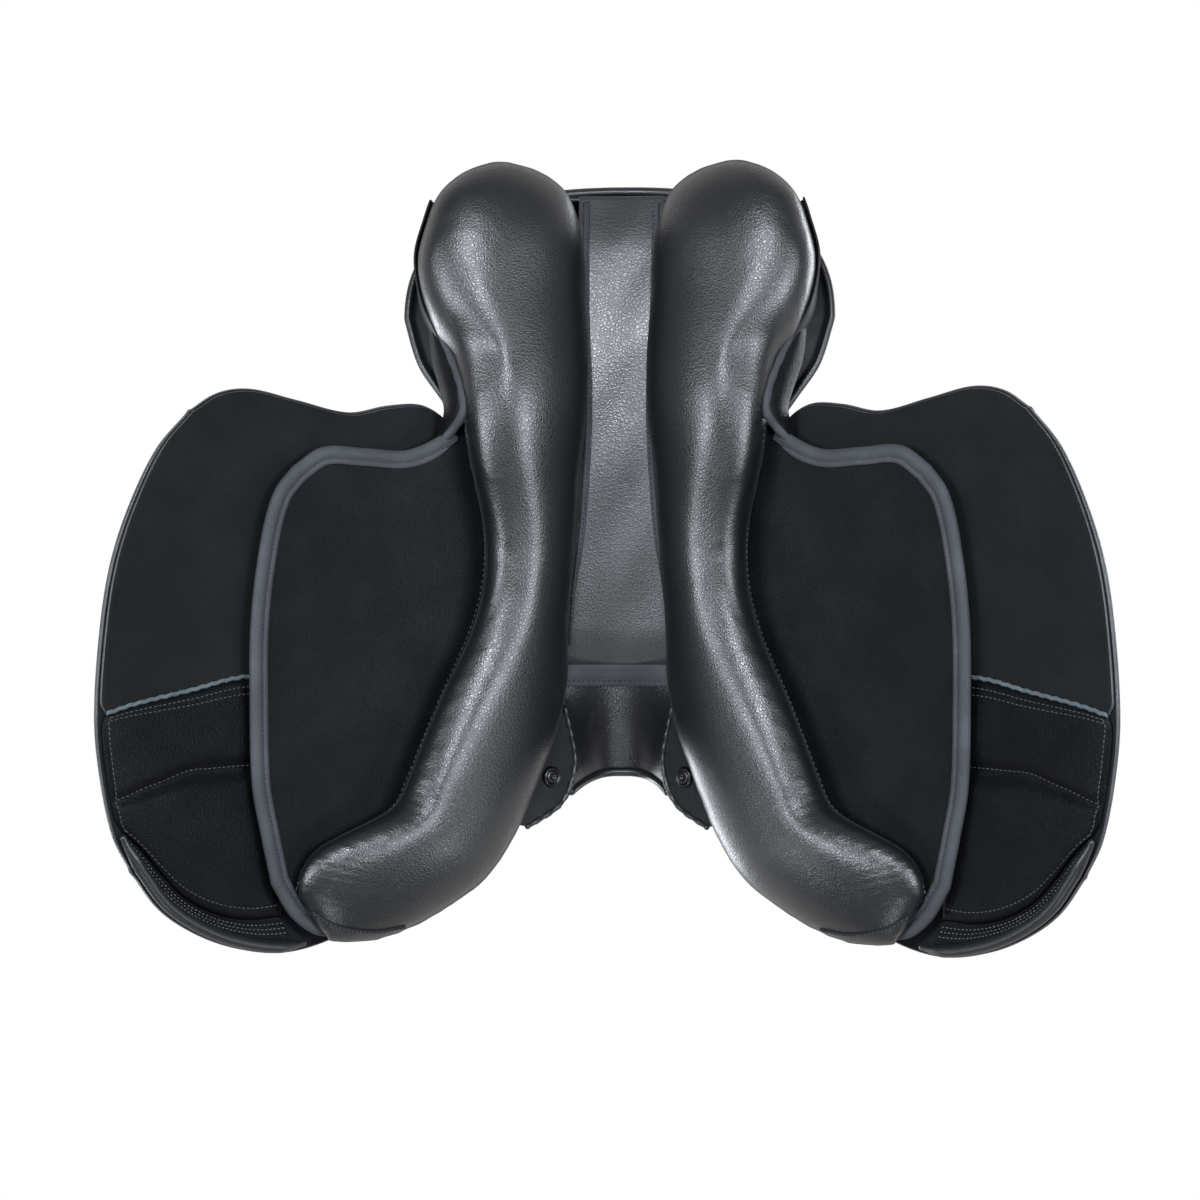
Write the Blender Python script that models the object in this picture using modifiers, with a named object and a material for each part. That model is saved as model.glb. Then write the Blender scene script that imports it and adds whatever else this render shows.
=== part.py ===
"""English jumping saddle in metres, +Z up, front towards -Y, the rider's left towards +X.

The panels, flaps and skirts lie in layers on one drape: a cross-section that falls away on both
sides of the horse's spine. A place on it is (reach, y): reach is the length measured from the
centreline along the drape, and off is the height of a layer above the side that faces the horse.
"""

import math

import bmesh
import bpy
from mathutils import Vector

# Clearances between solids
TOUCH_GAP = 0.0004
LAYER_GAP = 0.0007

# Drape: the cross-section that the panels and flaps follow
DRAPE_TOP = 0.062
DRAPE_CROWN_RADIUS = 0.110
DRAPE_SHOULDER = math.radians(30)
DRAPE_SIDE_RADIUS = 1.43
REAR_LIFT = 0.037
REAR_LIFT_START = 0.10
REAR_LIFT_END = 0.28
REAR_LIFT_REACH = 0.174

# Leather thicknesses
PANEL_FLAP_THICK = 0.003
BILLET_THICK = 0.0035
LINING_THICK = 0.0025
FLAP_THICK = 0.004
SKIRT_THICK = 0.0035
COVER_THICK = 0.003
PANEL_COVER_THICK = 0.0022
GUSSET_THICK = 0.0018
BINDING_THICK = 0.0016
GULLET_LINING_THICK = 0.0025

# Layers above the horse's side of the drape, each from the one below it
BILLET_LOW_OFF = PANEL_FLAP_THICK + 0.0018
BILLET_HIGH_OFF = BILLET_LOW_OFF + BILLET_THICK + LAYER_GAP
LINING_OFF = BILLET_HIGH_OFF + BILLET_THICK + LAYER_GAP
FLAP_OFF = LINING_OFF + LINING_THICK + TOUCH_GAP
SKIRT_OFF = FLAP_OFF + FLAP_THICK + LAYER_GAP
HINGE_OFF = SKIRT_OFF + SKIRT_THICK + 0.0008

# Outer flap, as places (reach, y)
HINGE_REACH = 0.105
FLAP_ROOT = HINGE_REACH + 0.002
FLAP_FRONT_EDGE = (
    (FLAP_ROOT, -0.118),
    (0.120, -0.165),
    (0.150, -0.210),
    (0.200, -0.243),
    (0.245, -0.262),
    (0.284, -0.268),
    (0.326, -0.261),
    (0.361, -0.247),
    (0.389, -0.228),
    (0.411, -0.201),
)
FLAP_OUTER_EDGE = (
    (0.411, -0.201),
    (0.426, -0.174),
    (0.437, -0.128),
    (0.441, -0.085),
    (0.436, -0.020),
    (0.427, 0.028),
    (0.411, 0.071),
    (0.388, 0.113),
    (0.362, 0.141),
)
FLAP_REAR_EDGE = (
    (FLAP_ROOT, 0.083),
    (0.133, 0.108),
    (0.158, 0.140),
    (0.185, 0.150),
    (0.225, 0.143),
    (0.270, 0.152),
    (0.310, 0.159),
    (0.338, 0.155),
    (0.362, 0.141),
)
BAR_RECESS_DEPTH = 0.036
BAR_RECESS_FRONT = -0.092
BAR_RECESS_REAR = 0.045
FLAP_CELLS = 12

# Flap lining, knee pad and rolled edge on the flap's inner side
LINING_INNER_REACH = 0.150
LINING_INNER_Y = -0.040
LINING_CORNER_GAP = 0.004
LINING_CUT_EDGE = ((0.435, -0.083), (0.413, -0.077), (0.362, -0.067), (0.325, -0.059), (0.285, -0.056))
LINING_EDGE_INSET = 0.0015
PAD_INNER_REACH = 0.285
PAD_LOWER_EDGE = (
    (0.285, -0.240),
    (0.314, -0.241),
    (0.342, -0.235),
    (0.369, -0.221),
    (0.388, -0.203),
    (0.406, -0.183),
    (0.421, -0.170),
)
PAD_LINING_GAP = 0.0012
PAD_EDGE_INSET = 0.003
PAD_CORNER_GAP = 0.006
PAD_CROWN = 0.0085
PAD_EDGE_THICK = 0.002
PAD_CHANNEL_PLACE = 0.42
PAD_CHANNEL_WIDTH = 0.10
PAD_CHANNEL_DEPTH = 0.62
ROLL_RADIUS = 0.0048
ROLL_INSET = 0.0045
ROLL_CENTRE = (0.330, -0.150)
ROLL_FRONT_REACH = 0.262
ROLL_REAR_GAP = 0.004

# Skirt over the stirrup bar
SKIRT_FRONT_EDGE = ((FLAP_ROOT, -0.112), (0.140, -0.131), (0.176, -0.124), (0.203, -0.094))
SKIRT_OUTER_EDGE = ((0.203, -0.094), (0.216, -0.055), (0.216, -0.010), (0.203, 0.030))
SKIRT_REAR_EDGE = ((FLAP_ROOT, 0.080), (0.140, 0.077), (0.176, 0.060), (0.203, 0.030))
SKIRT_BULGE = 0.014
SKIRT_BULGE_PLACE = (0.132, -0.045)
SKIRT_BULGE_SPAN = (0.024, 0.060)

# Panel (sweat) flap and its binding
PANEL_FLAP_INNER = ((0.092, -0.150), (0.088, -0.050), (0.088, 0.020), (0.092, 0.084))
PANEL_FLAP_REAR = ((0.092, 0.084), (0.118, 0.094), (0.133, 0.113), (0.1390, 0.1285), (0.180, 0.1125),
                   (0.220, 0.1125), (0.255, 0.1125), (0.279, 0.098))
PANEL_FLAP_OUTER = ((0.2960, -0.2140), (0.3045, -0.178), (0.3125, -0.139), (0.3145, -0.075),
                    (0.3135, -0.014), (0.3045, 0.047), (0.294, 0.080), (0.279, 0.098))
PANEL_FLAP_FRONT = ((0.092, -0.150), (0.115, -0.195), (0.155, -0.228), (0.205, -0.244),
                    (0.254, -0.2525), (0.278, -0.2395), (0.2960, -0.2140))
BINDING_WIDTH = 0.0125
BINDING_END_WIDTH = 0.0055
BINDING_TAPER = 0.075
BINDING_EDGE = 0.0045
BINDING_CLEARANCE = 0.0012
BINDING_STATIONS = 38
BINDING_EAR = 0.1415
BINDING_TIP = 0.2765

# Panel tubes: rungs from the rear end to the front tip, as inner place, outer place, crown height
# and depth of the back behind the seam
PANEL_RUNGS = (
    ((0.096, 0.3475), (0.112, 0.347), 0.008, 0.010),
    ((0.068, 0.341), (0.138, 0.338), 0.020, 0.022),
    ((0.045, 0.326), (0.160, 0.320), 0.032, 0.032),
    ((0.035, 0.306), (0.172, 0.297), 0.040, 0.038),
    ((0.032, 0.282), (0.180, 0.270), 0.044, 0.040),
    ((0.031, 0.245), (0.173, 0.235), 0.046, 0.036),
    ((0.029, 0.203), (0.152, 0.197), 0.047, 0.026),
    ((0.028, 0.160), (0.139, 0.158), 0.047, 0.012),
    ((0.030, 0.110), (0.128, 0.108), 0.046, 0.004),
    ((0.035, 0.062), (0.121, 0.058), 0.045, 0.004),
    ((0.039, 0.020), (0.122, 0.015), 0.045, 0.004),
    ((0.042, -0.025), (0.134, -0.025), 0.045, 0.004),
    ((0.046, -0.070), (0.154, -0.068), 0.045, 0.004),
    ((0.056, -0.110), (0.170, -0.105), 0.044, 0.004),
    ((0.071, -0.148), (0.184, -0.138), 0.044, 0.004),
    ((0.088, -0.185), (0.200, -0.157), 0.042, 0.004),
    ((0.115, -0.222), (0.222, -0.171), 0.039, 0.004),
    ((0.155, -0.247), (0.245, -0.182), 0.035, 0.004),
    ((0.197, -0.261), (0.263, -0.194), 0.029, 0.004),
    ((0.231, -0.2655), (0.275, -0.210), 0.020, 0.004),
    ((0.250, -0.264), (0.279, -0.227), 0.010, 0.004),
)
BACK_LEAN = 0.36
BACK_LEAN_END = (0.220, 0.270)
PANEL_STATIONS = 24
PANEL_END_CROWDING = 0.70
PANEL_DOME_POINTS = 8
FLOCK_CLEARANCE = 0.0025
PANEL_SEAM_DROP = 0.004
PANEL_SIDE_SWELL = 0.035
PANEL_SLIT = 0.32

# Gusset on the outer wall of the rear lobe, where the back is at least this deep
GUSSET_LEAST_DEPTH = 0.012
GUSSET_SEAM = 0.10

# Gullet: height of its ceiling along the saddle, and half widths of its linings
GULLET_CEILING = ((-0.140, 0.112), (-0.105, 0.094), (-0.060, 0.072), (-0.020, 0.0645), (0.100, 0.0635),
                  (0.200, 0.068), (0.280, 0.083), (0.334, 0.104))
GULLET_REAR_END = 0.322
GULLET_CROSS = -0.0605
GULLET_FRONT_END = -0.140
GULLET_HALF_WIDTH = ((-0.060, 0.038), (0.000, 0.037), (0.060, 0.032), (0.160, 0.027), (0.240, 0.030),
                     (0.330, 0.031))
ARCH_HALF_WIDTH = 0.037
GULLET_FOOT_Z = 0.0605
GULLET_SAG = 0.0015
GULLET_STATIONS = 12
ARCH_FOOT_Z = 0.064
CROSS_BINDING_WIDTH = 0.017
CROSS_BINDING_HALF = 0.0365
CROSS_BINDING_DROP = 0.0008
CHANNEL_BINDING_FRONT = -0.036
CHANNEL_BINDING_END_GAP = 0.004
CHANNEL_BINDING_HEIGHT = 0.0042
CHANNEL_BINDING_WIDTH = 0.0055
PIPING_RADIUS = 0.0024

# Point pockets beside the pommel arch, as places (x, y) on a slope, with their screws
POCKET_INNER = ((0.0420, -0.087), (0.0370, -0.110), (0.0345, -0.129), (0.0385, -0.150), (0.0480, -0.165),
                (0.0680, -0.1785))
POCKET_OUTER = ((0.0455, -0.089), (0.0500, -0.110), (0.0560, -0.129), (0.0625, -0.150), (0.0665, -0.163),
                (0.0705, -0.174))
POCKET_TOP = (0.0355, 0.0590)
POCKET_SLOPE = math.radians(40)
POCKET_THICK = 0.0022
SCREW_PLACE = (0.0535, -0.1405)
WASHER_RADIUS = 0.0085
WASHER_HEIGHT = 0.0030
SCREW_HEAD_RADIUS = 0.0052
SCREW_SHANK_RADIUS = 0.0019
SCREW_SHANK_LENGTH = 0.0075

# Seat: height of its rim and of its lower edge along the saddle, depth of its hollow, and half width
SEAT_FRONT = -0.142
SEAT_WIDEST_Y = 0.225
SEAT_REAR = 0.336
SEAT_HALF_WIDTH = 0.171
SEAT_REAR_POWER = 2.4
SEAT_WIDTHS = ((-0.142, 0.064), (-0.134, 0.081), (-0.118, 0.094), (-0.080, 0.102), (0.060, 0.1025),
               (0.090, 0.106), (0.130, 0.120), (0.160, 0.140), (0.190, 0.160), (0.225, SEAT_HALF_WIDTH))
SEAT_RIM_HEIGHTS = ((-0.142, 0.131), (-0.135, 0.147), (-0.118, 0.157), (-0.090, 0.153), (-0.045, 0.134),
                    (0.000, 0.119), (0.060, 0.113), (0.130, 0.122), (0.200, 0.142), (0.260, 0.166),
                    (0.305, 0.187), (0.325, 0.190), (0.336, 0.182))
SEAT_DIP = ((-0.142, 0.0), (0.030, 0.001), (0.130, 0.007), (0.200, 0.016), (0.260, 0.021), (0.300, 0.017),
            (0.336, 0.0))
SEAT_EDGE_HEIGHTS = ((-0.142, 0.062), (-0.120, 0.051), (-0.080, 0.0475), (0.080, 0.0475), (0.160, 0.052),
                     (0.230, 0.063), (0.280, 0.078), (0.315, 0.100), (0.336, 0.128))
SEAT_WELT_PLACE = 0.62
SEAT_WELT_SEAM = 0.014
SEAT_REAR_SHARE = 0.38
SEAT_COVER_END = 85
SEAT_FRONT_YS = (-0.142, -0.1375, -0.129)
SEAT_STATIONS = 17
SEAT_COVER_COLUMNS = 10
SEAT_SIDE_ROWS = 4
FOAM_THICK = 0.018
FOAM_SPREAD = 0.90
FOAM_CLEARANCE = 0.0030
WELT_RADIUS = 0.0024
EDGE_ROLL_RADIUS = 0.0030
EDGE_ROLL_FRONT = 0.118
EDGE_ROLL_END = 38
CANTLE_ROLL_RADIUS = 0.0045
CANTLE_ROLL_START = 74
FACING_THICK = 0.0025

# Tree inside the seat
TREE_WIDTH_SHARE = 0.88
TREE_THICK = 0.006
TREE_FRONT = -0.118
TREE_REAR_ANGLE = 60
TREE_EDGE_HEIGHTS = ((-0.142, 0.0500), (-0.080, 0.0475), (0.080, 0.0490), (0.160, 0.0640), (0.230, 0.0800),
                     (0.280, 0.0970), (0.336, 0.1300))
TREE_FALL = 1.6
TREE_PLACES = (0.0, 0.36, 0.57, 0.78, 0.97)
TREE_HOLE_FRONT = -0.055
TREE_HOLE_REAR = 0.215
TREE_HOLE_LAP = 0.022
HEAD_PLATE_CLEAR = -0.100
HEAD_PLATE_THICK = 0.003
HEAD_PLATE_REACHES = (0.0965, 0.1115)
SPRING_WIDTH = 0.014
SPRING_THICK = 0.0022
SPRING_FRONT = -0.080
SPRING_REAR = 0.190
SPRING_CLEARANCE = 0.0005
WEBBING_THICK = 0.0015
WEBBING_SPREAD = 0.62

# Stirrup bar, its catch and pin
BAR_PLATE_INNER = 0.0985
BAR_PLATE_WIDTH = 0.013
BAR_FRONT = -0.119
BAR_REAR = -0.024
BAR_PLATE_THICK = 0.003
BAR_NECK_LENGTH = 0.018
BAR_ROD_REACH = 0.1255
BAR_ROD_RADIUS = 0.0034
BAR_TONGUE_LENGTH = 0.012
BAR_TONGUE_THICK = 0.0026
CATCH_LENGTH = 0.020
CATCH_WIDTH = 0.0064
CATCH_THICK = 0.0026
PIN_RADIUS = 0.0014
PIN_CLEARANCE = 0.0002

# Girth webs and billets
BILLET_WIDTH = 0.025
BILLET_LENGTH = 0.172
BILLET_POINT = 0.018
BILLET_END_DEPTH = 0.0035
BILLET_END_WIDTH = 0.0058
BILLET_TOP = 0.1125
BILLET_MIDDLE_Y = 0.044
BILLET_PITCH = 0.040
WEB_INNER_REACH = 0.084
WEB_THICK = 0.0022
WEB_FRONT = -0.009
WEB_REAR = 0.097
WEB_RISE = 0.0072

LEFT = 1
RIGHT = -1
SIDES = ((LEFT, "left"), (RIGHT, "right"))

MATERIALS = {
    "panel_leather": ((0.016, 0.017, 0.019), 0.42, 0.0),
    "flap_leather": ((0.011, 0.011, 0.012), 0.62, 0.0),
    "flap_lining_leather": ((0.010, 0.010, 0.011), 0.70, 0.0),
    "knee_pad_leather": ((0.012, 0.012, 0.013), 0.48, 0.0),
    "seat_leather": ((0.014, 0.014, 0.015), 0.45, 0.0),
    "binding_leather": ((0.042, 0.044, 0.048), 0.60, 0.0),
    "gullet_leather": ((0.020, 0.021, 0.023), 0.45, 0.0),
    "billet_leather": ((0.016, 0.014, 0.013), 0.55, 0.0),
    "tree_laminate": ((0.055, 0.040, 0.028), 0.60, 0.0),
    "steel": ((0.55, 0.55, 0.56), 0.35, 1.0),
    "dark_nickel": ((0.05, 0.05, 0.055), 0.30, 1.0),
    "webbing": ((0.50, 0.46, 0.38), 0.85, 0.0),
    "foam": ((0.60, 0.57, 0.48), 0.90, 0.0),
    "flock": ((0.70, 0.68, 0.62), 0.95, 0.0),
}


def clear_scene():
    """Removes the objects that the file starts with."""
    for obj in list(bpy.data.objects):
        bpy.data.objects.remove(obj, do_unlink=True)


def new_collection(name):
    collection = bpy.data.collections.new(name)
    bpy.context.scene.collection.children.link(collection)
    return collection


def material(name):
    """The named material, made the first time it is asked for."""
    found = bpy.data.materials.get(name)
    if found:
        return found
    color, roughness, metallic = MATERIALS[name]
    made = bpy.data.materials.new(name)
    made.use_nodes = True
    shader = made.node_tree.nodes["Principled BSDF"]
    shader.inputs["Base Color"].default_value = (*color, 1.0)
    shader.inputs["Roughness"].default_value = roughness
    shader.inputs["Metallic"].default_value = metallic
    return made


def add_object(name, data, finish):
    obj = bpy.data.objects.new(name, data)
    obj.data.materials.append(material(finish))
    PARTS.objects.link(obj)
    return obj


# Curves and profiles


def smooth_path(points, steps=10):
    """Dense points of a smooth curve through the given ones, with tangents by chord length."""
    knots = [Vector(p) for p in points]
    chords = [(b - a).length for a, b in zip(knots, knots[1:])]
    tangents = [(knots[1] - knots[0]) / chords[0]]
    for i in range(1, len(knots) - 1):
        tangents.append((knots[i + 1] - knots[i - 1]) / (chords[i] + chords[i - 1]))
    tangents.append((knots[-1] - knots[-2]) / chords[-1])
    path = []
    for i, chord in enumerate(chords):
        for step in range(steps):
            path.append(hermite(knots[i], knots[i + 1], tangents[i], tangents[i + 1], chord, step / steps))
    path.append(knots[-1])
    return path


def hermite(start, end, tangent_start, tangent_end, span, t):
    square = t * t
    cube = square * t
    return (
        start * (2 * cube - 3 * square + 1)
        + tangent_start * (span * (cube - 2 * square + t))
        + end * (3 * square - 2 * cube)
        + tangent_end * (span * (cube - square))
    )


def along(path, share):
    """The point at this share of a path's length."""
    lengths = [0.0]
    for a, b in zip(path, path[1:]):
        lengths.append(lengths[-1] + (b - a).length)
    wanted = min(max(share, 0.0), 1.0) * lengths[-1]
    for i in range(len(path) - 1):
        if lengths[i + 1] >= wanted:
            span = lengths[i + 1] - lengths[i]
            return path[i].lerp(path[i + 1], (wanted - lengths[i]) / span if span else 0.0)
    return path[-1]


def even_points(path, count):
    return [along(path, i / (count - 1)) for i in range(count)]


def profile_value(pairs, x):
    """A smooth height through (x, value) pairs that never overshoots them."""
    if x <= pairs[0][0]:
        return pairs[0][1]
    if x >= pairs[-1][0]:
        return pairs[-1][1]
    slopes = [(b[1] - a[1]) / (b[0] - a[0]) for a, b in zip(pairs, pairs[1:])]
    tangents = [slopes[0]]
    for before, after in zip(slopes, slopes[1:]):
        rising = before * after > 0
        tangents.append(2 * before * after / (before + after) if rising else 0.0)
    tangents.append(slopes[-1])
    for i in range(len(slopes)):
        low, high = pairs[i], pairs[i + 1]
        if x <= high[0]:
            span = high[0] - low[0]
            return hermite(low[1], high[1], tangents[i], tangents[i + 1], span, (x - low[0]) / span)
    return pairs[-1][1]


def ease(t):
    t = min(max(t, 0.0), 1.0)
    return t * t * (3 - 2 * t)


# Surfaces that the layers follow


def drape_place(reach, off):
    """X, Z and the slope of the drape at this reach and height above its inner side."""
    crown_length = DRAPE_CROWN_RADIUS * DRAPE_SHOULDER
    if reach <= crown_length:
        slope = reach / DRAPE_CROWN_RADIUS
        x = DRAPE_CROWN_RADIUS * math.sin(slope)
        z = DRAPE_TOP - DRAPE_CROWN_RADIUS * (1 - math.cos(slope))
    else:
        slope = DRAPE_SHOULDER + (reach - crown_length) / DRAPE_SIDE_RADIUS
        x = DRAPE_CROWN_RADIUS * math.sin(DRAPE_SHOULDER)
        x += DRAPE_SIDE_RADIUS * (math.sin(slope) - math.sin(DRAPE_SHOULDER))
        z = DRAPE_TOP - DRAPE_CROWN_RADIUS * (1 - math.cos(DRAPE_SHOULDER))
        z -= DRAPE_SIDE_RADIUS * (math.cos(DRAPE_SHOULDER) - math.cos(slope))
    return x + off * math.sin(slope), z + off * math.cos(slope), slope


def on_drape(reach, y, off=0.0):
    x, z, _ = drape_place(reach, off)
    return Vector((x, y, z))


def drape_normal(reach):
    _, _, slope = drape_place(reach, 0.0)
    return Vector((math.sin(slope), 0.0, math.cos(slope)))


def on_lifted_drape(reach, y):
    """The drape where the rear lobes lie: its sides rise towards the cantle."""
    rise = REAR_LIFT * ease((y - REAR_LIFT_START) / (REAR_LIFT_END - REAR_LIFT_START))
    return on_drape(reach, y) + Vector((0.0, 0.0, rise * reach / REAR_LIFT_REACH))


def coons(near, far, start, end, s, t):
    """The place at (s, t) in a patch: edges near and far run with s, start and end with t."""
    ruled = along(near, s).lerp(along(far, s), t) + along(start, t).lerp(along(end, t), s)
    corners = near[0].lerp(near[-1], s).lerp(far[0].lerp(far[-1], s), t)
    return ruled - corners


def patch(near, far, start, end, columns, rows):
    """Rows of places (reach, y) over the patch; row 0 lies on near."""
    return [
        [coons(near, far, start, end, i / columns, j / rows) for i in range(columns + 1)]
        for j in range(rows + 1)
    ]


def seat_station(share):
    """Y and half width of the seat at a share of its length; the rear follows a superellipse."""
    if share <= 1 - SEAT_REAR_SHARE:
        y = SEAT_FRONT + (SEAT_WIDEST_Y - SEAT_FRONT) * share / (1 - SEAT_REAR_SHARE)
        return y, profile_value(SEAT_WIDTHS, y)
    turn = math.pi / 2 * (share - 1 + SEAT_REAR_SHARE) / SEAT_REAR_SHARE
    power = 2 / SEAT_REAR_POWER
    y = SEAT_WIDEST_Y + (SEAT_REAR - SEAT_WIDEST_Y) * math.sin(turn) ** power
    return y, SEAT_HALF_WIDTH * max(math.cos(turn), 0.0) ** power


def share_of_y(y):
    """The seat station whose place along the saddle is y, ahead of the widest station."""
    return (1 - SEAT_REAR_SHARE) * (y - SEAT_FRONT) / (SEAT_WIDEST_Y - SEAT_FRONT)


def rear_share(degrees):
    """The seat station at this turn round the rear."""
    return 1 - SEAT_REAR_SHARE + SEAT_REAR_SHARE * degrees / 90


def seat_shares(first, last, count):
    return [first + (last - first) * i / (count - 1) for i in range(count)]


def seat_stations(first=SEAT_FRONT, last=None):
    """The stations that the seat's skin, foam and tree share, from a place y to a share at the rear."""
    shares = [share_of_y(y) for y in SEAT_FRONT_YS]
    shares += seat_shares(share_of_y(TREE_FRONT), rear_share(SEAT_COVER_END), SEAT_STATIONS)
    last = shares[-1] if last is None else last
    return [share for share in shares if share_of_y(first) - 1e-6 <= share <= last + 1e-6]


def seat_skin(share, across):
    """The seat's outer surface: across runs from 0 on the centreline to 1 at the lower edge."""
    y, half_width = seat_station(share)
    edge = profile_value(SEAT_EDGE_HEIGHTS, y)
    rim = profile_value(SEAT_RIM_HEIGHTS, y)
    turn = min(abs(across), 1.0) * math.pi / 2
    dip = profile_value(SEAT_DIP, y) * max(0.0, 1 - (across / SEAT_WELT_PLACE) ** 2) ** 2
    x = half_width * math.sin(turn) ** 0.9
    z = edge + (rim - edge) * max(math.cos(turn), 0.0) ** 0.8 - dip
    return Vector((math.copysign(x, across), y, z))


def tree_skin(share, across):
    """The tree's upper surface."""
    y, half_width = seat_station(share)
    middle = profile_value(SEAT_RIM_HEIGHTS, y) - profile_value(SEAT_DIP, y) - COVER_THICK - FOAM_THICK
    edge = profile_value(TREE_EDGE_HEIGHTS, y)
    turn = min(abs(across), 1.0) * math.pi / 2
    x = TREE_WIDTH_SHARE * half_width * math.sin(turn) ** 0.9
    z = edge + (middle - edge) * max(math.cos(turn), 0.0) ** TREE_FALL
    return Vector((math.copysign(x, across), y, z))


def tree_places():
    return [-place for place in TREE_PLACES[:0:-1]] + list(TREE_PLACES)


def tree_stations():
    return seat_stations(TREE_FRONT, rear_share(TREE_REAR_ANGLE))


def under(surface, share, across, depth):
    """A point at this depth under a surface of the seat, measured square to it."""
    step = 0.004
    low, high = max(share - step, 0.0), min(share + step, rear_share(SEAT_COVER_END))
    ahead = surface(high, across) - surface(low, across)
    inside = min(max(across, -0.985), 0.985)
    outward = surface(share, inside + 0.012) - surface(share, inside - 0.012)
    return surface(share, across) - outward.cross(ahead).normalized() * depth


def seat_point(share, across, depth):
    """A point at this depth under the seat's outer surface."""
    return under(seat_skin, share, across, depth)


def tree_point(share, across, depth=0.0):
    """A point at this depth under the tree's upper surface, which the seat foam lies on."""
    return under(tree_skin, share, across, depth)


# Mesh makers


def mirrored(points, side):
    return [[Vector((side * p.x, p.y, p.z)) for p in row] for row in points]


def grid_mesh(name, rows, facing):
    """An open grid through rows of points, with its faces turned towards the facing vector."""
    columns = len(rows[0])
    bm = bmesh.new()
    bmesh.ops.create_grid(bm, x_segments=columns - 1, y_segments=len(rows) - 1, size=1.0)
    for i, vert in enumerate(sorted(bm.verts, key=lambda v: (round(v.co.y, 5), v.co.x))):
        vert.co = rows[i // columns][i % columns]
    total = Vector()
    for face in bm.faces:
        face.normal_update()
        total += face.normal * face.calc_area()
    if total.dot(facing) < 0:
        bmesh.ops.reverse_faces(bm, faces=bm.faces)
    mesh = bpy.data.meshes.new(name)
    bm.to_mesh(mesh)
    bm.free()
    mesh.shade_smooth()
    return mesh


def sheet(name, rows, facing, thickness, finish):
    """A leather sheet: a grid whose thickness grows along the facing vector."""
    obj = add_object(name, grid_mesh(name, rows, facing), finish)
    solid = obj.modifiers.new("thickness", "SOLIDIFY")
    solid.thickness = thickness
    solid.offset = 1.0
    return obj


def block(name, lower, upper, finish):
    """A closed solid between two grids with the same number of rows and columns."""
    height, width = len(lower), len(lower[0])
    bm = bmesh.new()
    layers = [[[bm.verts.new(p) for p in row] for row in grid] for grid in (lower, upper)]
    for j in range(height - 1):
        for i in range(width - 1):
            for grid in layers:
                bm.faces.new((grid[j][i], grid[j][i + 1], grid[j + 1][i + 1], grid[j + 1][i]))
    rim = [(0, i) for i in range(width)] + [(j, width - 1) for j in range(1, height)]
    rim += [(height - 1, i) for i in range(width - 2, -1, -1)] + [(j, 0) for j in range(height - 2, 0, -1)]
    for (j0, i0), (j1, i1) in zip(rim, rim[1:] + rim[:1]):
        bm.faces.new((layers[0][j0][i0], layers[0][j1][i1], layers[1][j1][i1], layers[1][j0][i0]))
    bmesh.ops.recalc_face_normals(bm, faces=bm.faces)
    return mesh_object(name, bm, finish)


def loft(name, rings, finish, closed=True):
    """A skin over rings of points with both ends capped; a ring that isn't closed leaves a slit."""
    bm = bmesh.new()
    verts = [[bm.verts.new(p) for p in ring] for ring in rings]
    count = len(rings[0])
    for a, b in zip(verts, verts[1:]):
        for i in range(count if closed else count - 1):
            k = (i + 1) % count
            bm.faces.new((a[i], a[k], b[k], b[i]))
    bm.faces.new(verts[0])
    bm.faces.new(verts[-1])
    bmesh.ops.recalc_face_normals(bm, faces=bm.faces)
    return mesh_object(name, bm, finish)


def mesh_object(name, bm, finish):
    mesh = bpy.data.meshes.new(name)
    bm.to_mesh(mesh)
    bm.free()
    mesh.shade_smooth()
    mesh.set_sharp_from_angle(angle=math.radians(40))
    return add_object(name, mesh, finish)


def bead(name, points, radius, finish, sides=1):
    """A round cord of leather along points, with its ends closed."""
    curve = bpy.data.curves.new(name, "CURVE")
    curve.dimensions = "3D"
    spline = curve.splines.new("POLY")
    spline.points.add(len(points) - 1)
    for slot, point in zip(spline.points, points):
        slot.co = (*point, 1.0)
    curve.bevel_depth = radius
    curve.bevel_resolution = sides
    curve.use_fill_caps = True
    return add_object(name, curve, finish)


def box_mesh(name, size, matrix_columns, centre, finish):
    """A box with its sides along three unit vectors."""
    bm = bmesh.new()
    bmesh.ops.create_cube(bm, size=1.0)
    for vert in bm.verts:
        local = vert.co
        vert.co = centre + sum(
            (axis * (length * share) for axis, length, share in zip(matrix_columns, size, local)), Vector()
        )
    bmesh.ops.recalc_face_normals(bm, faces=bm.faces)
    return mesh_object(name, bm, finish)


def cylinder_mesh(name, radius, start, end, finish, segments=16):
    """A cylinder between two points."""
    axis = (end - start).normalized()
    turn = axis.to_track_quat("Z", "Y")
    bm = bmesh.new()
    bmesh.ops.create_cone(bm, cap_ends=True, segments=segments, radius1=radius, radius2=radius,
                          depth=(end - start).length)
    for vert in bm.verts:
        vert.co = turn @ vert.co + (start + end) / 2
    return mesh_object(name, bm, finish)


def turned(name, profile, centre, axis, finish, steps=16):
    """A profile of (radius, height) pairs turned about an axis through centre."""
    mesh = bpy.data.meshes.new(name)
    mesh.from_pydata([(r, 0.0, h) for r, h in profile], [(i, i + 1) for i in range(len(profile) - 1)], [])
    obj = add_object(name, mesh, finish)
    screw = obj.modifiers.new("turn", "SCREW")
    screw.steps = steps
    screw.render_steps = steps
    screw.use_merge_vertices = True
    screw.merge_threshold = 0.00005
    obj.rotation_euler = axis.to_track_quat("Z", "Y").to_euler()
    obj.location = centre
    return obj


def split_alike(obj):
    """Splits the faces of both halves along mirrored diagonals, so that neighbours stay clear."""
    facets = obj.modifiers.new("facets", "TRIANGULATE")
    facets.quad_method = "LONGEST_DIAGONAL"


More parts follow.
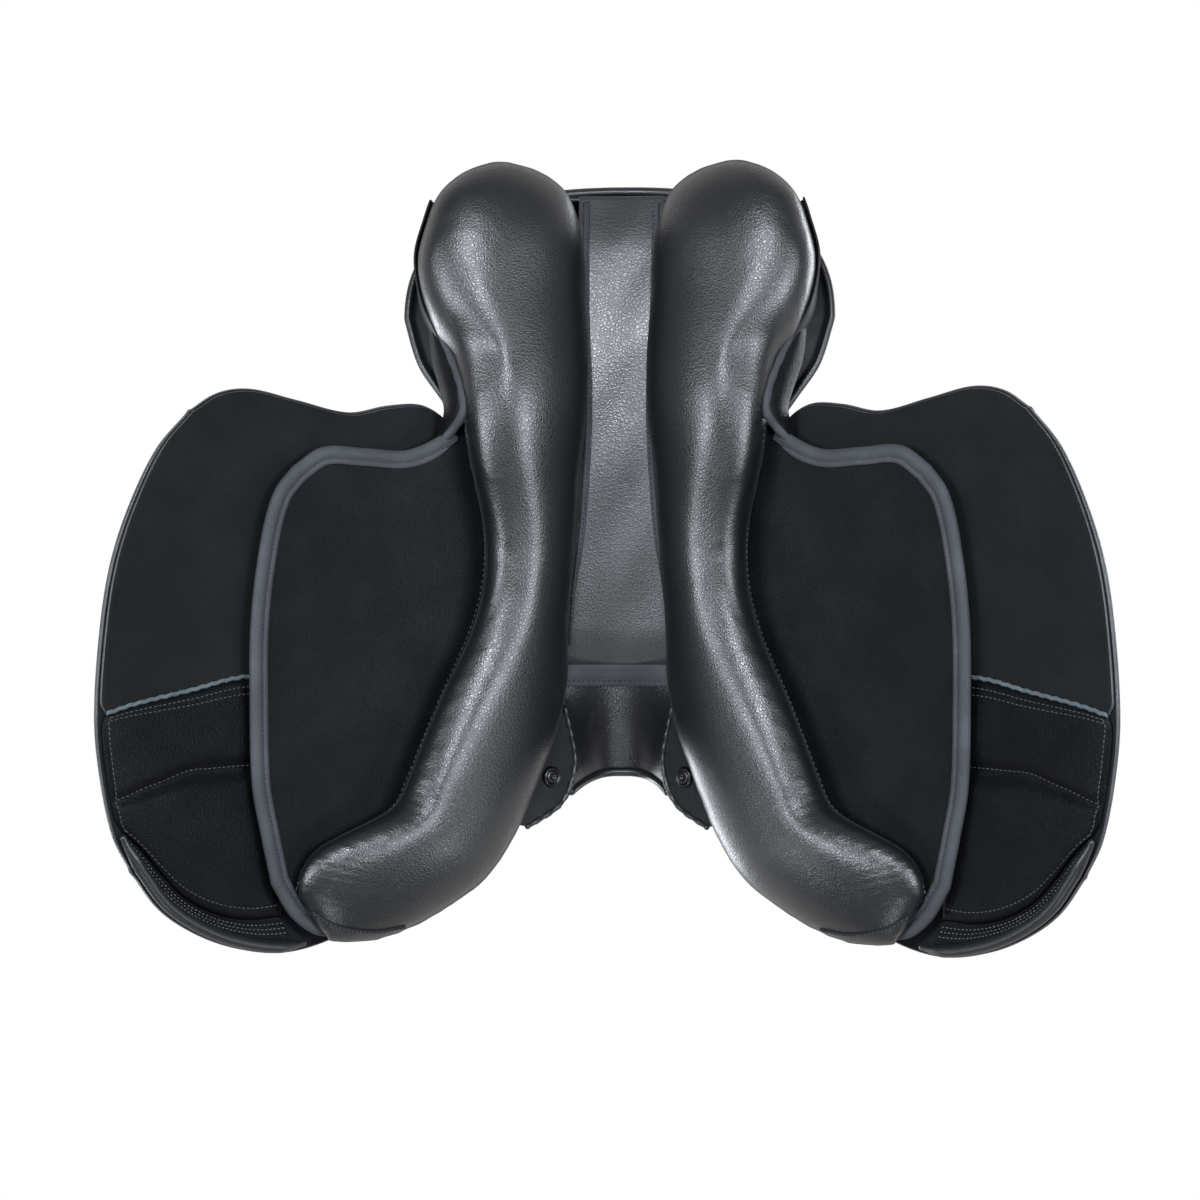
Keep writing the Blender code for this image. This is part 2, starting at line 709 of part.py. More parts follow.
def combine(obj, other, operation):
    """Adds or cuts a helper solid, which stays hidden among the cutters."""
    PARTS.objects.unlink(other)
    CUTTERS.objects.link(other)
    other.hide_render = True
    other.display_type = "WIRE"
    boolean = obj.modifiers.new(other.name, "BOOLEAN")
    boolean.operation = operation
    boolean.object = other


def pivot(name, place):
    """An empty on a joint's axis, which carries the pieces that move about it."""
    empty = bpy.data.objects.new(name, None)
    empty.location = place
    empty.empty_display_size = 0.02
    PARTS.objects.link(empty)
    return empty


def carry(empty, *objects):
    """Hangs objects on an empty without moving them."""
    origin = Vector(empty.location)
    if empty.parent:
        origin += Vector(empty.parent.location)
    for obj in objects:
        obj.parent = empty
        obj.location = Vector(obj.location) - origin


# Panels


def panel_section(rung, shrink, wrap):
    """Points round a panel tube at one rung; wrap leaves the flocking slit open at the back."""
    inner, outer, crown, depth = rung
    a = on_lifted_drape(*inner)
    b = on_lifted_drape(*outer)
    lateral = (b - a).normalized()
    half = (b - a).length / 2 - shrink
    towards_horse = -drape_normal((inner[0] + outer[0]) / 2)
    towards_horse = (towards_horse - lateral * towards_horse.dot(lateral)).normalized()
    lean = BACK_LEAN * (1 - ease((inner[1] - BACK_LEAN_END[0]) / (BACK_LEAN_END[1] - BACK_LEAN_END[0])))
    lifted = ease((depth - PANEL_SEAM_DROP) / 0.012)
    upwards = (-towards_horse).lerp(Vector((lean, 0.0, 1.0)), lifted).normalized()
    centre = (a + b) / 2 + towards_horse * (PANEL_SEAM_DROP + TOUCH_GAP)
    back = max(depth, PANEL_SEAM_DROP) - shrink
    height = crown - shrink
    section = [(PANEL_SLIT, back)] if wrap else []
    section += [(0.86, back), (0.96, back * 0.80)]
    for i in range(PANEL_DOME_POINTS):
        turn = math.pi * i / (PANEL_DOME_POINTS - 1)
        wide = math.copysign(abs(math.cos(turn)) ** 0.82, math.cos(turn))
        swell = 1 + PANEL_SIDE_SWELL * math.sin(turn) ** 0.5
        section.append((wide * swell, -height * math.sin(turn) ** 0.78))
    section += [(-0.96, back * 0.80), (-0.86, back)]
    if wrap:
        section.append((-PANEL_SLIT, back))
    points = []
    for wide, rise in section:
        direction = upwards * rise if rise > 0 else towards_horse * -rise
        points.append(centre + lateral * (half * wide) + direction)
    return points


def panel_rungs(count):
    """Rungs along the tube's middle line, closer together towards its ends."""
    middles = smooth_path([(Vector(i) + Vector(o)) / 2 for i, o, _, _ in PANEL_RUNGS], 6)
    inners = smooth_path([Vector((*i, crown)) for i, _, crown, _ in PANEL_RUNGS], 6)
    outers = smooth_path([Vector((*o, depth)) for _, o, _, depth in PANEL_RUNGS], 6)
    lengths = [0.0]
    for a, b in zip(middles, middles[1:]):
        lengths.append(lengths[-1] + (b - a).length)
    picked = []
    for n in range(count):
        share = n / (count - 1)
        crowded = 0.5 - 0.5 * math.cos(math.pi * share)
        wanted = (share + (crowded - share) * PANEL_END_CROWDING) * lengths[-1]
        i = min(max(k for k, length in enumerate(lengths) if length <= wanted + 1e-9), len(middles) - 2)
        t = (wanted - lengths[i]) / (lengths[i + 1] - lengths[i])
        inner = inners[i].lerp(inners[i + 1], t)
        outer = outers[i].lerp(outers[i + 1], t)
        picked.append(((inner.x, inner.y), (outer.x, outer.y), inner.z, outer.z))
    return picked


def make_panel(side, word):
    rungs = panel_rungs(PANEL_STATIONS)
    rings = mirrored([panel_section(rung, 0.0, True) for rung in rungs], side)
    cover = loft(f"panel_cover_{word}", rings, "panel_leather", closed=False)
    face_outward(cover, rings)
    solid = cover.modifiers.new("thickness", "SOLIDIFY")
    solid.thickness = PANEL_COVER_THICK
    solid.offset = -1.0
    shrink = PANEL_COVER_THICK + FLOCK_CLEARANCE
    cores = [panel_section(rung, shrink, False) for rung in rungs if rung[2] > shrink * 5]
    loft(f"panel_flock_{word}", mirrored(cores, side), "flock")


def face_outward(obj, rings):
    """Turns an open loft's faces away from its middle line."""
    ring = rings[len(rings) // 2]
    middle = sum(ring, Vector()) / len(ring)
    mesh = obj.data
    nearest = min(mesh.polygons, key=lambda face: (face.center - ring[len(ring) // 2]).length)
    if nearest.normal.dot(nearest.center - middle) < 0:
        mesh.flip_normals()


def panel_flap_patch(columns, rows):
    """The sweat flap: row 0 is its inner edge, and columns run from the front to the rear."""
    near, far = smooth_path(PANEL_FLAP_INNER), smooth_path(PANEL_FLAP_OUTER)
    start, end = smooth_path(PANEL_FLAP_FRONT), smooth_path(PANEL_FLAP_REAR)
    return patch(near, far, start, end, columns, rows)


def make_panel_flap(side, word):
    places = panel_flap_patch(11, 8)
    rows = mirrored([[on_drape(p.x, p.y) for p in row] for row in places], side)
    sheet(f"panel_flap_{word}", rows, Vector((side, 0, 1)), PANEL_FLAP_THICK, "flap_lining_leather")


def bound_edge():
    """The stretch of the sweat flap's outline that the binding covers, from the ear to the front tip."""
    rear = smooth_path(PANEL_FLAP_REAR)
    outer = smooth_path(PANEL_FLAP_OUTER)
    front = smooth_path(PANEL_FLAP_FRONT)
    ear = [p for p in rear if p.x > BINDING_EAR]
    tip = [p for p in front if p.x > BINDING_TIP]
    return ear + outer[::-1][1:] + tip[::-1][1:]


def make_panel_binding(side, word):
    """An edge binding: a band on the horse's side and a lip round the cut edge."""
    path = even_points(bound_edge(), BINDING_STATIONS)
    middle = sum(path, Vector((0, 0))) / len(path)
    lip = PANEL_FLAP_THICK + BINDING_THICK * 0.6
    rings = []
    for i, place in enumerate(path):
        ahead = path[min(i + 1, len(path) - 1)] - path[max(i - 1, 0)]
        outward = Vector((ahead.y, -ahead.x)).normalized()
        if outward.dot(place - middle) < 0:
            outward.negate()
        share = i / (len(path) - 1)
        full = ease(min(share, 1 - share) / BINDING_TAPER)
        width = BINDING_END_WIDTH + (BINDING_WIDTH - BINDING_END_WIDTH) * full
        ring = []
        for across, off in (
            (-width, -TOUCH_GAP),
            (-width, -BINDING_THICK),
            (-0.001, -BINDING_THICK - 0.0006),
            (BINDING_EDGE, -0.0002),
            (BINDING_EDGE, lip * 0.7),
            (0.0020, lip),
            (BINDING_CLEARANCE, lip * 0.8),
            (BINDING_CLEARANCE, -TOUCH_GAP),
        ):
            spot = place + outward * across
            ring.append(on_drape(spot.x, spot.y, off))
        rings.append(ring)
    loft(f"panel_binding_{word}", mirrored(rings, side), "binding_leather")


def make_gusset(side, word):
    """The smooth wall on the outer side of the rear lobe, from the seam up to the tree."""
    rungs = [rung for rung in panel_rungs(PANEL_STATIONS) if rung[3] > GUSSET_LEAST_DEPTH]
    rows = []
    for rung in rungs:
        section = panel_section(rung, 0.0, True)
        upper, seam = section[2], section[3]
        away = seam - (section[3] + section[2 + PANEL_DOME_POINTS]) / 2
        gap = away.normalized() * LAYER_GAP
        rows.append([seam.lerp(upper, share) + gap for share in (GUSSET_SEAM, 0.55, 1.0)])
    facing = Vector((side, 0.1, 0))
    sheet(f"rear_gusset_{word}", mirrored(rows, side), facing, GUSSET_THICK, "panel_leather")


# Gullet


def make_gullet_lining():
    rows = []
    for j in range(GULLET_STATIONS + 1):
        y = GULLET_CROSS + (GULLET_REAR_END - GULLET_CROSS) * j / GULLET_STATIONS
        half = profile_value(GULLET_HALF_WIDTH, y)
        z = profile_value(GULLET_CEILING, y)
        rows.append([Vector((half * i / 2, y, z - GULLET_SAG * (i / 2) ** 2)) for i in range(-2, 3)])
    sheet("gullet_lining", rows, Vector((0, 0, 1)), GULLET_LINING_THICK, "gullet_leather")


def arch_section(y, columns=8):
    """Points across the front gullet lining, an arch that deepens towards the pommel."""
    share = (GULLET_CROSS - y) / (GULLET_CROSS - GULLET_FRONT_END)
    crown = profile_value(GULLET_CEILING, y)
    foot = GULLET_FOOT_Z + (ARCH_FOOT_Z - GULLET_FOOT_Z) * ease(share)
    start = GULLET_HALF_WIDTH[0][1]
    half = start + (ARCH_HALF_WIDTH - start) * share
    power = 2.0 + 1.2 * ease(share)
    points = []
    for i in range(-columns // 2, columns // 2 + 1):
        across = math.sin(math.pi * i / columns)
        points.append(Vector((half * across, y, foot + (crown - foot) * (1 - abs(across) ** power))))
    return points


def make_front_gullet_lining():
    front = GULLET_CROSS - 4 * TOUCH_GAP
    rows = [arch_section(front + (GULLET_FRONT_END - front) * j / 6) for j in range(7)]
    sheet("front_gullet_lining", rows, Vector((0, 0, 1)), GULLET_LINING_THICK, "gullet_leather")


def make_cross_binding():
    """The bound strip under the joint of the two gullet linings."""
    rear = GULLET_CROSS + CROSS_BINDING_WIDTH / 2
    narrower = CROSS_BINDING_HALF / GULLET_HALF_WIDTH[0][1]
    rows = []
    for y in (rear - CROSS_BINDING_WIDTH, GULLET_CROSS, rear):
        rows.append([Vector((p.x * narrower, y, p.z - CROSS_BINDING_DROP)) for p in arch_section(y)])
    sheet("gullet_cross_binding", rows, Vector((0, 0, -1)), BINDING_THICK, "binding_leather")


def make_channel_binding(side, word):
    """The stitched edge between the gullet lining and a panel tube, narrowing towards the front."""
    rings = []
    length = GULLET_REAR_END - CHANNEL_BINDING_FRONT - CHANNEL_BINDING_END_GAP
    for j in range(GULLET_STATIONS + 1):
        y = CHANNEL_BINDING_FRONT + length * j / GULLET_STATIONS
        edge = profile_value(GULLET_HALF_WIDTH, y)
        top = profile_value(GULLET_CEILING, y) - GULLET_SAG - LAYER_GAP
        width = CHANNEL_BINDING_WIDTH * (0.25 + 0.75 * ease((y - CHANNEL_BINDING_FRONT) / 0.12))
        low = top - CHANNEL_BINDING_HEIGHT
        rings.append([
            Vector((edge - width, y, top)),
            Vector((edge - width, y, low + 0.0010)),
            Vector((edge - width * 0.65, y, low)),
            Vector((edge, y, low + 0.0005)),
            Vector((edge, y, top)),
        ])
    loft(f"channel_binding_{word}", mirrored(rings, side), "binding_leather")


def make_pommel_piping():
    """The cord round the front edge of the arch."""
    shift = Vector((0, -PIPING_RADIUS - TOUCH_GAP, PIPING_RADIUS * 0.5))
    points = [p + shift for p in arch_section(GULLET_FRONT_END, 14)]
    bead("pommel_piping", points, PIPING_RADIUS, "binding_leather")


def make_pommel_facing():
    """The band of leather that closes the seat's front, from its skin to the arch."""
    columns = 12
    y = SEAT_FRONT - TOUCH_GAP
    inner = arch_section(GULLET_FRONT_END, columns)
    clear = GULLET_LINING_THICK + PIPING_RADIUS
    spread = 1 + clear / ARCH_HALF_WIDTH
    rows = [[], [], []]
    for i in range(columns + 1):
        outer = seat_skin(0.0, 2 * i / columns - 1)
        low = Vector((inner[i].x * spread, y, inner[i].z + clear))
        for share, row in zip((0.0, 0.5, 1.0), rows):
            point = outer.lerp(low, share)
            row.append(Vector((point.x, y, point.z)))
    sheet("pommel_facing", rows, Vector((0, -1, 0)), FACING_THICK, "seat_leather")


# Point pockets


def pocket_point(place, off):
    """The pocket's slope falls away from the arch; off is the height above its lower face."""
    x, y = place
    rise = Vector((math.sin(POCKET_SLOPE), 0.0, math.cos(POCKET_SLOPE)))
    return Vector((x, y, POCKET_TOP[1] - (x - POCKET_TOP[0]) * math.tan(POCKET_SLOPE))) + rise * off


def make_point_pocket(side, word):
    inner, outer = smooth_path(POCKET_INNER), smooth_path(POCKET_OUTER)
    rows = []
    for j in range(3):
        places = [along(inner, i / 8).lerp(along(outer, i / 8), j / 2) for i in range(9)]
        rows.append([pocket_point(place, 0.0) for place in places])
    facing = Vector((side, 0, 1))
    sheet(f"point_pocket_{word}", mirrored(rows, side), facing, POCKET_THICK, "binding_leather")


def make_pocket_screw(side, word):
    """A cup washer on the pocket's lower face, and the screw that passes through both."""
    down = Vector((-side * math.sin(POCKET_SLOPE), 0.0, -math.cos(POCKET_SLOPE)))
    spot = pocket_point(SCREW_PLACE, 0.0)
    spot.x *= side
    face = spot + down * TOUCH_GAP
    hole_radius = SCREW_SHANK_RADIUS + 0.0004
    turned(f"cup_washer_{word}", (
        (hole_radius, 0.0012),
        (SCREW_HEAD_RADIUS + 0.0005, WASHER_HEIGHT * 0.75),
        (SCREW_HEAD_RADIUS + 0.0014, WASHER_HEIGHT),
        (WASHER_RADIUS * 0.86, WASHER_HEIGHT * 0.8),
        (WASHER_RADIUS, 0.0005),
        (WASHER_RADIUS, 0.0),
        (hole_radius, 0.0),
        (hole_radius, 0.0012),
    ), face, down, "dark_nickel")
    turned(f"pocket_screw_{word}", (
        (0.0, WASHER_HEIGHT * 0.95),
        (SCREW_HEAD_RADIUS * 0.8, WASHER_HEIGHT * 0.9),
        (SCREW_HEAD_RADIUS, WASHER_HEIGHT * 0.84),
        (SCREW_SHANK_RADIUS, 0.0017),
        (SCREW_SHANK_RADIUS, -SCREW_SHANK_LENGTH),
        (0.0, -SCREW_SHANK_LENGTH),
    ), face, down, "dark_nickel")
    hole = cylinder_mesh(f"screw_hole_{word}", hole_radius, face + down * 0.01,
                         face - down * (SCREW_SHANK_LENGTH + 0.003), "dark_nickel")
    combine(bpy.data.objects[f"point_pocket_{word}"], hole, "DIFFERENCE")


# Flaps


def flap_root_path():
    """The flap's top edge from front to rear, with the recess that clears the stirrup bar."""
    front, rear = FLAP_FRONT_EDGE[0], FLAP_REAR_EDGE[0]
    path = []
    for i in range(33):
        y = front[1] + (rear[1] - front[1]) * i / 32
        opened = ease((y - BAR_RECESS_FRONT) / 0.022) * ease((BAR_RECESS_REAR - y) / 0.030)
        path.append(Vector((FLAP_ROOT + BAR_RECESS_DEPTH * opened, y)))
    return path


def flap_patch(columns, rows):
    front, outer = smooth_path(FLAP_FRONT_EDGE), smooth_path(FLAP_OUTER_EDGE)
    rear = smooth_path(FLAP_REAR_EDGE)
    return patch(flap_root_path(), outer, front, rear, columns, rows)


def lining_patch(columns, rows):
    """The flap lining: from its cut edge up to the flap's rear edge."""
    inset = LINING_EDGE_INSET
    outer = [p - Vector((inset, 0)) for p in smooth_path(FLAP_OUTER_EDGE) if p.y > LINING_CUT_EDGE[0][1]]
    rear = [p - Vector((0, inset)) for p in smooth_path(FLAP_REAR_EDGE) if p.x > LINING_INNER_REACH]
    cut = smooth_path(LINING_CUT_EDGE)[::-1]
    inner_end = Vector((LINING_INNER_REACH, LINING_INNER_Y))
    cut = [inner_end.lerp(cut[0], i / 4) for i in range(4)] + cut
    outer = [cut[-1]] + [p for p in outer if p.y > cut[-1].y + LINING_CORNER_GAP]
    rear[-1] = outer[-1]
    inner = [inner_end.lerp(rear[0], i / 6) for i in range(7)]
    return patch(inner, outer, cut, rear, columns, rows)


def pad_patch(columns, rows):
    """The knee pad: columns run from its lower edge up to the lining's cut edge."""
    lower = smooth_path(PAD_LOWER_EDGE)
    upper = [p - Vector((0, PAD_LINING_GAP)) for p in smooth_path(LINING_CUT_EDGE)[::-1]]
    inner = [lower[0].lerp(upper[0], i / 8) for i in range(9)]
    edge = [p - Vector((PAD_EDGE_INSET, 0)) for p in smooth_path(FLAP_OUTER_EDGE)]
    start, end = lower[-1].y + PAD_CORNER_GAP, upper[-1].y - PAD_CORNER_GAP
    outer = [lower[-1]] + [p for p in edge if start < p.y < end] + [upper[-1]]
    return patch(inner, outer, lower, upper, columns, rows)


def pad_height(s, t):
    """The pad's thickness: crowned, thin at its edges and drawn in along the sewn channel."""
    crown = (math.sin(math.pi * min(max(s, 0.0), 1.0)) * math.sin(math.pi * min(max(t, 0.0), 1.0))) ** 0.35
    channel = 1 - PAD_CHANNEL_DEPTH * math.exp(-(((s - PAD_CHANNEL_PLACE) / PAD_CHANNEL_WIDTH) ** 2))
    return PAD_EDGE_THICK + (PAD_CROWN - PAD_EDGE_THICK) * crown * channel


def make_flap(side, word, hinge):
    facing = Vector((side, 0, 1))
    rows = [[on_drape(p.x, p.y, FLAP_OFF) for p in row] for row in flap_patch(FLAP_CELLS, FLAP_CELLS)]
    flap = sheet(f"flap_{word}", mirrored(rows, side), facing, FLAP_THICK, "flap_leather")
    rows = mirrored([[on_drape(p.x, p.y, LINING_OFF) for p in row] for row in lining_patch(7, 9)], side)
    lining = sheet(f"flap_lining_{word}", rows, facing, LINING_THICK, "flap_lining_leather")
    columns, count = 10, 9
    places = pad_patch(columns, count)
    top = FLAP_OFF - TOUCH_GAP
    upper = [[on_drape(p.x, p.y, top) for p in row] for row in places]
    lower = [
        [on_drape(p.x, p.y, top - pad_height(i / columns, j / count)) for i, p in enumerate(row)]
        for j, row in enumerate(places)
    ]
    pad = block(f"knee_pad_{word}", mirrored(lower, side), mirrored(upper, side), "knee_pad_leather")
    roll = make_front_roll(side, word)
    carry(hinge, flap, lining, pad, roll)


def make_front_roll(side, word):
    """The rolled leather edge round the front corner of the flap, on its inner side."""
    outer = [p for p in smooth_path(FLAP_OUTER_EDGE) if p.y < PAD_LOWER_EDGE[-1][1] - ROLL_REAR_GAP]
    front = [p for p in smooth_path(FLAP_FRONT_EDGE) if p.x > ROLL_FRONT_REACH]
    path = even_points(front + outer[1:], 20)
    centre = Vector(ROLL_CENTRE)
    points = []
    for place in path:
        spot = place + (centre - place).normalized() * ROLL_INSET
        points.append(on_drape(spot.x, spot.y, FLAP_OFF - TOUCH_GAP - ROLL_RADIUS))
    return bead(f"flap_front_roll_{word}", mirrored([points], side)[0], ROLL_RADIUS, "knee_pad_leather")


def make_skirt(side, word, hinge):
    """The skirt, which bulges over the stirrup bar."""
    front, outer, rear = (smooth_path(e) for e in (SKIRT_FRONT_EDGE, SKIRT_OUTER_EDGE, SKIRT_REAR_EDGE))
    root = [front[0].lerp(rear[0], i / 8) for i in range(9)]
    rows = []
    for places in patch(root, outer, front, rear, 9, 7):
        row = []
        for p in places:
            far = ((p.x - SKIRT_BULGE_PLACE[0]) / SKIRT_BULGE_SPAN[0]) ** 2
            far += ((p.y - SKIRT_BULGE_PLACE[1]) / SKIRT_BULGE_SPAN[1]) ** 2
            row.append(on_drape(p.x, p.y, SKIRT_OFF + SKIRT_BULGE * math.exp(-far)))
        rows.append(row)
    skirt = sheet(f"skirt_{word}", mirrored(rows, side), Vector((side, 0, 1)), SKIRT_THICK, "seat_leather")
    carry(hinge, skirt)


# Seat


def make_seat_cover():
    edge = SEAT_WELT_PLACE - SEAT_WELT_SEAM
    half = SEAT_COVER_COLUMNS // 2
    places = [edge * i / half for i in range(-half, half + 1)]
    rows = [[seat_skin(share, place) for place in places] for share in seat_stations()]
    sheet("seat_cover", rows, Vector((0, 0, -1)), COVER_THICK, "seat_leather")


def make_seat_side(side, word):
    """The leather from the welt down to the seat's lower edge, round to the back of the cantle."""
    start = SEAT_WELT_PLACE + SEAT_WELT_SEAM
    rows = []
    for share in seat_stations() + [1.0]:
        row = []
        for i in range(SEAT_SIDE_ROWS + 1):
            point = seat_skin(share, start + (1 - start) * i / SEAT_SIDE_ROWS)
            point.x = max(point.x, TOUCH_GAP)
            row.append(point)
        rows.append(row)
    rows = mirrored(rows, side)
    sheet(f"seat_side_{word}", rows, Vector((-side, 0, -0.2)), COVER_THICK, "seat_leather")


def make_seat_welt():
    """The piping over the seam between the seat cover and its sides, in one run round the cantle."""
    raised = -WELT_RADIUS - LAYER_GAP
    left = [seat_point(share, SEAT_WELT_PLACE, raised) for share in seat_stations()]
    back = seat_point(rear_share(SEAT_COVER_END), SEAT_WELT_PLACE, raised)
    back.x = 0.0
    right = [Vector((-p.x, p.y, p.z)) for p in reversed(left)]
    bead("seat_welt", left + [back] + right, WELT_RADIUS, "seat_leather")


def make_cantle_roll():
    """The padded roll of leather under the back of the cantle, between the panel lobes."""
    down = Vector((0, -CANTLE_ROLL_RADIUS * 0.5, -CANTLE_ROLL_RADIUS - TOUCH_GAP * 2))
    left = [seat_skin(share, 1.0) + down for share in seat_shares(rear_share(CANTLE_ROLL_START), 1.0, 6)]
    left[-1].x = 0.0
    right = [Vector((-p.x, p.y, p.z)) for p in reversed(left[:-1])]
    bead("cantle_roll", left + right, CANTLE_ROLL_RADIUS, "seat_leather")


def make_seat_edge_roll(side, word):
    """The rolled leather edge under the side of the seat, from the waist to the rear lobe."""
    inset = Vector((-COVER_THICK / 2, 0, -EDGE_ROLL_RADIUS - TOUCH_GAP * 2))
    shares = seat_shares(share_of_y(EDGE_ROLL_FRONT), rear_share(EDGE_ROLL_END), 12)
    points = [seat_skin(share, 1.0) + inset for share in shares]
    bead(f"seat_edge_roll_{word}", mirrored([points], side)[0], EDGE_ROLL_RADIUS, "seat_leather")


def make_seat_foam():
    """The foam between the tree and the seat's skin."""
    places = tree_places()
    upper, lower = [], []
    for share in tree_stations()[:-1]:
        upper.append([seat_point(share, a * FOAM_SPREAD, COVER_THICK + FOAM_CLEARANCE) for a in places])
        lower.append([tree_point(share, a, -LAYER_GAP) for a in places])
    split_alike(block("seat_foam", lower, upper, "foam"))


def make_seat_webbing():
    """Canvas stretched under the opening of the tree, from behind the head plate."""
    rows = []
    for share in tree_stations():
        if HEAD_PLATE_CLEAR < seat_station(share)[0] < TREE_HOLE_REAR + TREE_HOLE_LAP:
            depth = TREE_THICK + LAYER_GAP
            middle, side = (tree_point(share, place, depth) for place in TREE_PLACES[:2])
            rows.append((middle, middle.lerp(side, WEBBING_SPREAD)))
    lap = TREE_HOLE_LAP / (rows[2][0].y - rows[1][0].y)
    rows[0] = tuple(ahead.lerp(behind, 1 - lap) for ahead, behind in zip(rows[0], rows[1]))
    sheet("seat_webbing", [[Vector((-side.x, side.y, side.z)), middle, side] for middle, side in rows],
          Vector((0, 0, -1)), WEBBING_THICK, "webbing")


# Tree and metalwork


def make_tree():
    """The frame of the saddle: two rails, the head and the cantle in one laminated piece."""
    rows = [[tree_point(share, a) for a in tree_places()] for share in tree_stations()]
    tree = sheet("tree_frame", rows, Vector((0, 0, -1)), TREE_THICK, "tree_laminate")
    bm = bmesh.new()
    bm.from_mesh(tree.data)
    hole = []
    for face in bm.faces:
        centre = face.calc_center_median()
        _, half_width = seat_station(min(max(share_of_y(centre.y), 0.0), 1 - SEAT_REAR_SHARE))
        limit = TREE_WIDTH_SHARE * half_width * math.sin(TREE_PLACES[1] * math.pi / 2) ** 0.9
        if abs(centre.x) < limit and TREE_HOLE_FRONT < centre.y < TREE_HOLE_REAR:
            hole.append(face)
    bmesh.ops.delete(bm, geom=hole, context="FACES")
    bm.to_mesh(tree.data)
    bm.free()
    split_alike(tree)


def make_head_plate():
    """The steel arch under the tree's head, with a leg down each side that backs the stirrup bar."""
    off = PANEL_FLAP_THICK + LAYER_GAP + HEAD_PLATE_THICK
    rows = []
    for share in tree_stations()[:2]:
        y, _ = seat_station(share)
        half = [tree_point(share, place, TREE_THICK + LAYER_GAP) for place in TREE_PLACES]
        half += [on_drape(reach, y, off) for reach in HEAD_PLATE_REACHES]
        rows.append([Vector((-p.x, p.y, p.z)) for p in half[:0:-1]] + half)
    sheet("head_plate", rows, Vector((0, 0, -1)), HEAD_PLATE_THICK, "steel")


def make_tree_spring(side, word):
    """A flat spring of steel along the underside of a rail."""
    rows = []
    for share in tree_stations():
        if not SPRING_FRONT < seat_station(share)[0] < SPRING_REAR:
            continue
        depth = TREE_THICK + SPRING_CLEARANCE
        inner, outer = (tree_point(share, place, depth) for place in TREE_PLACES[1:3])
        middle = (inner + outer) / 2
        half = (outer - inner).normalized() * (SPRING_WIDTH / 2)
        rows.append([middle - half, middle + half])
    sheet(f"tree_spring_{word}", mirrored(rows, side), Vector((0, 0, -1)), SPRING_THICK, "steel")


def bar_frame(side):
    """Unit vectors down the slope, along the saddle and off the drape at the stirrup bar."""
    normal = drape_normal(BAR_ROD_REACH)
    off = Vector((side * normal.x, 0, normal.z))
    slope = Vector((side * normal.z, 0, -normal.x))
    return slope, Vector((0, 1, 0)), off


def bar_spot(side, reach, y, off):
    """A point near the stirrup bar, on the flat plane that touches the drape at its rod."""
    origin = on_drape(BAR_ROD_REACH, y)
    origin.x *= side
    slope, _, normal = bar_frame(side)
    return origin + slope * (reach - BAR_ROD_REACH) + normal * off


def make_stirrup_bar(side, word):
    """Plate on the tree's head plate, neck at the front, and the rod that a stirrup leather hangs on."""
    axes = bar_frame(side)
    plate_low = PANEL_FLAP_THICK + LAYER_GAP + HEAD_PLATE_THICK + LAYER_GAP
    plate_mid = BAR_PLATE_INNER + BAR_PLATE_WIDTH / 2
    length = BAR_REAR - BAR_FRONT
    bar = box_mesh(f"stirrup_bar_{word}", (BAR_PLATE_WIDTH, length, BAR_PLATE_THICK), axes,
                   bar_spot(side, plate_mid, (BAR_FRONT + BAR_REAR) / 2, plate_low + BAR_PLATE_THICK / 2),
                   "steel")
    neck_top = FLAP_OFF - TOUCH_GAP
    neck_low = plate_low + BAR_PLATE_THICK / 2
    neck_inner = BAR_PLATE_INNER + 0.003
    neck_outer = BAR_ROD_REACH + BAR_ROD_RADIUS
    neck_size = (neck_outer - neck_inner, BAR_NECK_LENGTH, neck_top - neck_low)
    neck_spot = bar_spot(side, (neck_inner + neck_outer) / 2, BAR_FRONT + BAR_NECK_LENGTH / 2 + 0.001,
                         (neck_top + neck_low) / 2)
    neck = box_mesh(f"bar_neck_{word}", neck_size, axes, neck_spot, "steel")
    combine(bar, neck, "UNION")
    rod_rear = BAR_REAR - BAR_TONGUE_LENGTH
    rod = cylinder_mesh(f"bar_rod_{word}", BAR_ROD_RADIUS,
                        bar_spot(side, BAR_ROD_REACH, BAR_FRONT + BAR_NECK_LENGTH - 0.004, rod_off()),
                        bar_spot(side, BAR_ROD_REACH, rod_rear, rod_off()), "steel", 12)
    combine(bar, rod, "UNION")
    tongue_size = (BAR_TONGUE_THICK, BAR_TONGUE_LENGTH + 0.004, CATCH_WIDTH * 0.94)
    tongue_spot = bar_spot(side, BAR_ROD_REACH - (BAR_TONGUE_THICK + TOUCH_GAP) / 2,
                           rod_rear + BAR_TONGUE_LENGTH / 2 - 0.002, rod_off())
    tongue = box_mesh(f"bar_tongue_{word}", tongue_size, axes, tongue_spot, "steel")
    combine(bar, tongue, "UNION")
    combine(bar, pin_bore(side, f"bar_bore_{word}"), "DIFFERENCE")


def rod_off():
    """Height of the rod's middle: its top is level with the underside of the flap."""
    return FLAP_OFF - TOUCH_GAP - BAR_ROD_RADIUS


def pin_ends(side, more):
    """The two ends of the catch's pin, each this much past the pieces that it joins."""
    inner = BAR_ROD_REACH - BAR_TONGUE_THICK - TOUCH_GAP / 2 - more
    outer = BAR_ROD_REACH + CATCH_THICK + TOUCH_GAP / 2 + more
    return bar_spot(side, inner, pin_y(), rod_off()), bar_spot(side, outer, pin_y(), rod_off())


def pin_bore(side, name):
    """The cutter for the pin's bore."""
    inner, outer = pin_ends(side, 0.003)
    return cylinder_mesh(name, PIN_RADIUS + PIN_CLEARANCE, inner, outer, "steel")


def pin_y():
    """Where the catch's pin crosses the bar's tongue."""
    return BAR_REAR - BAR_TONGUE_LENGTH / 2


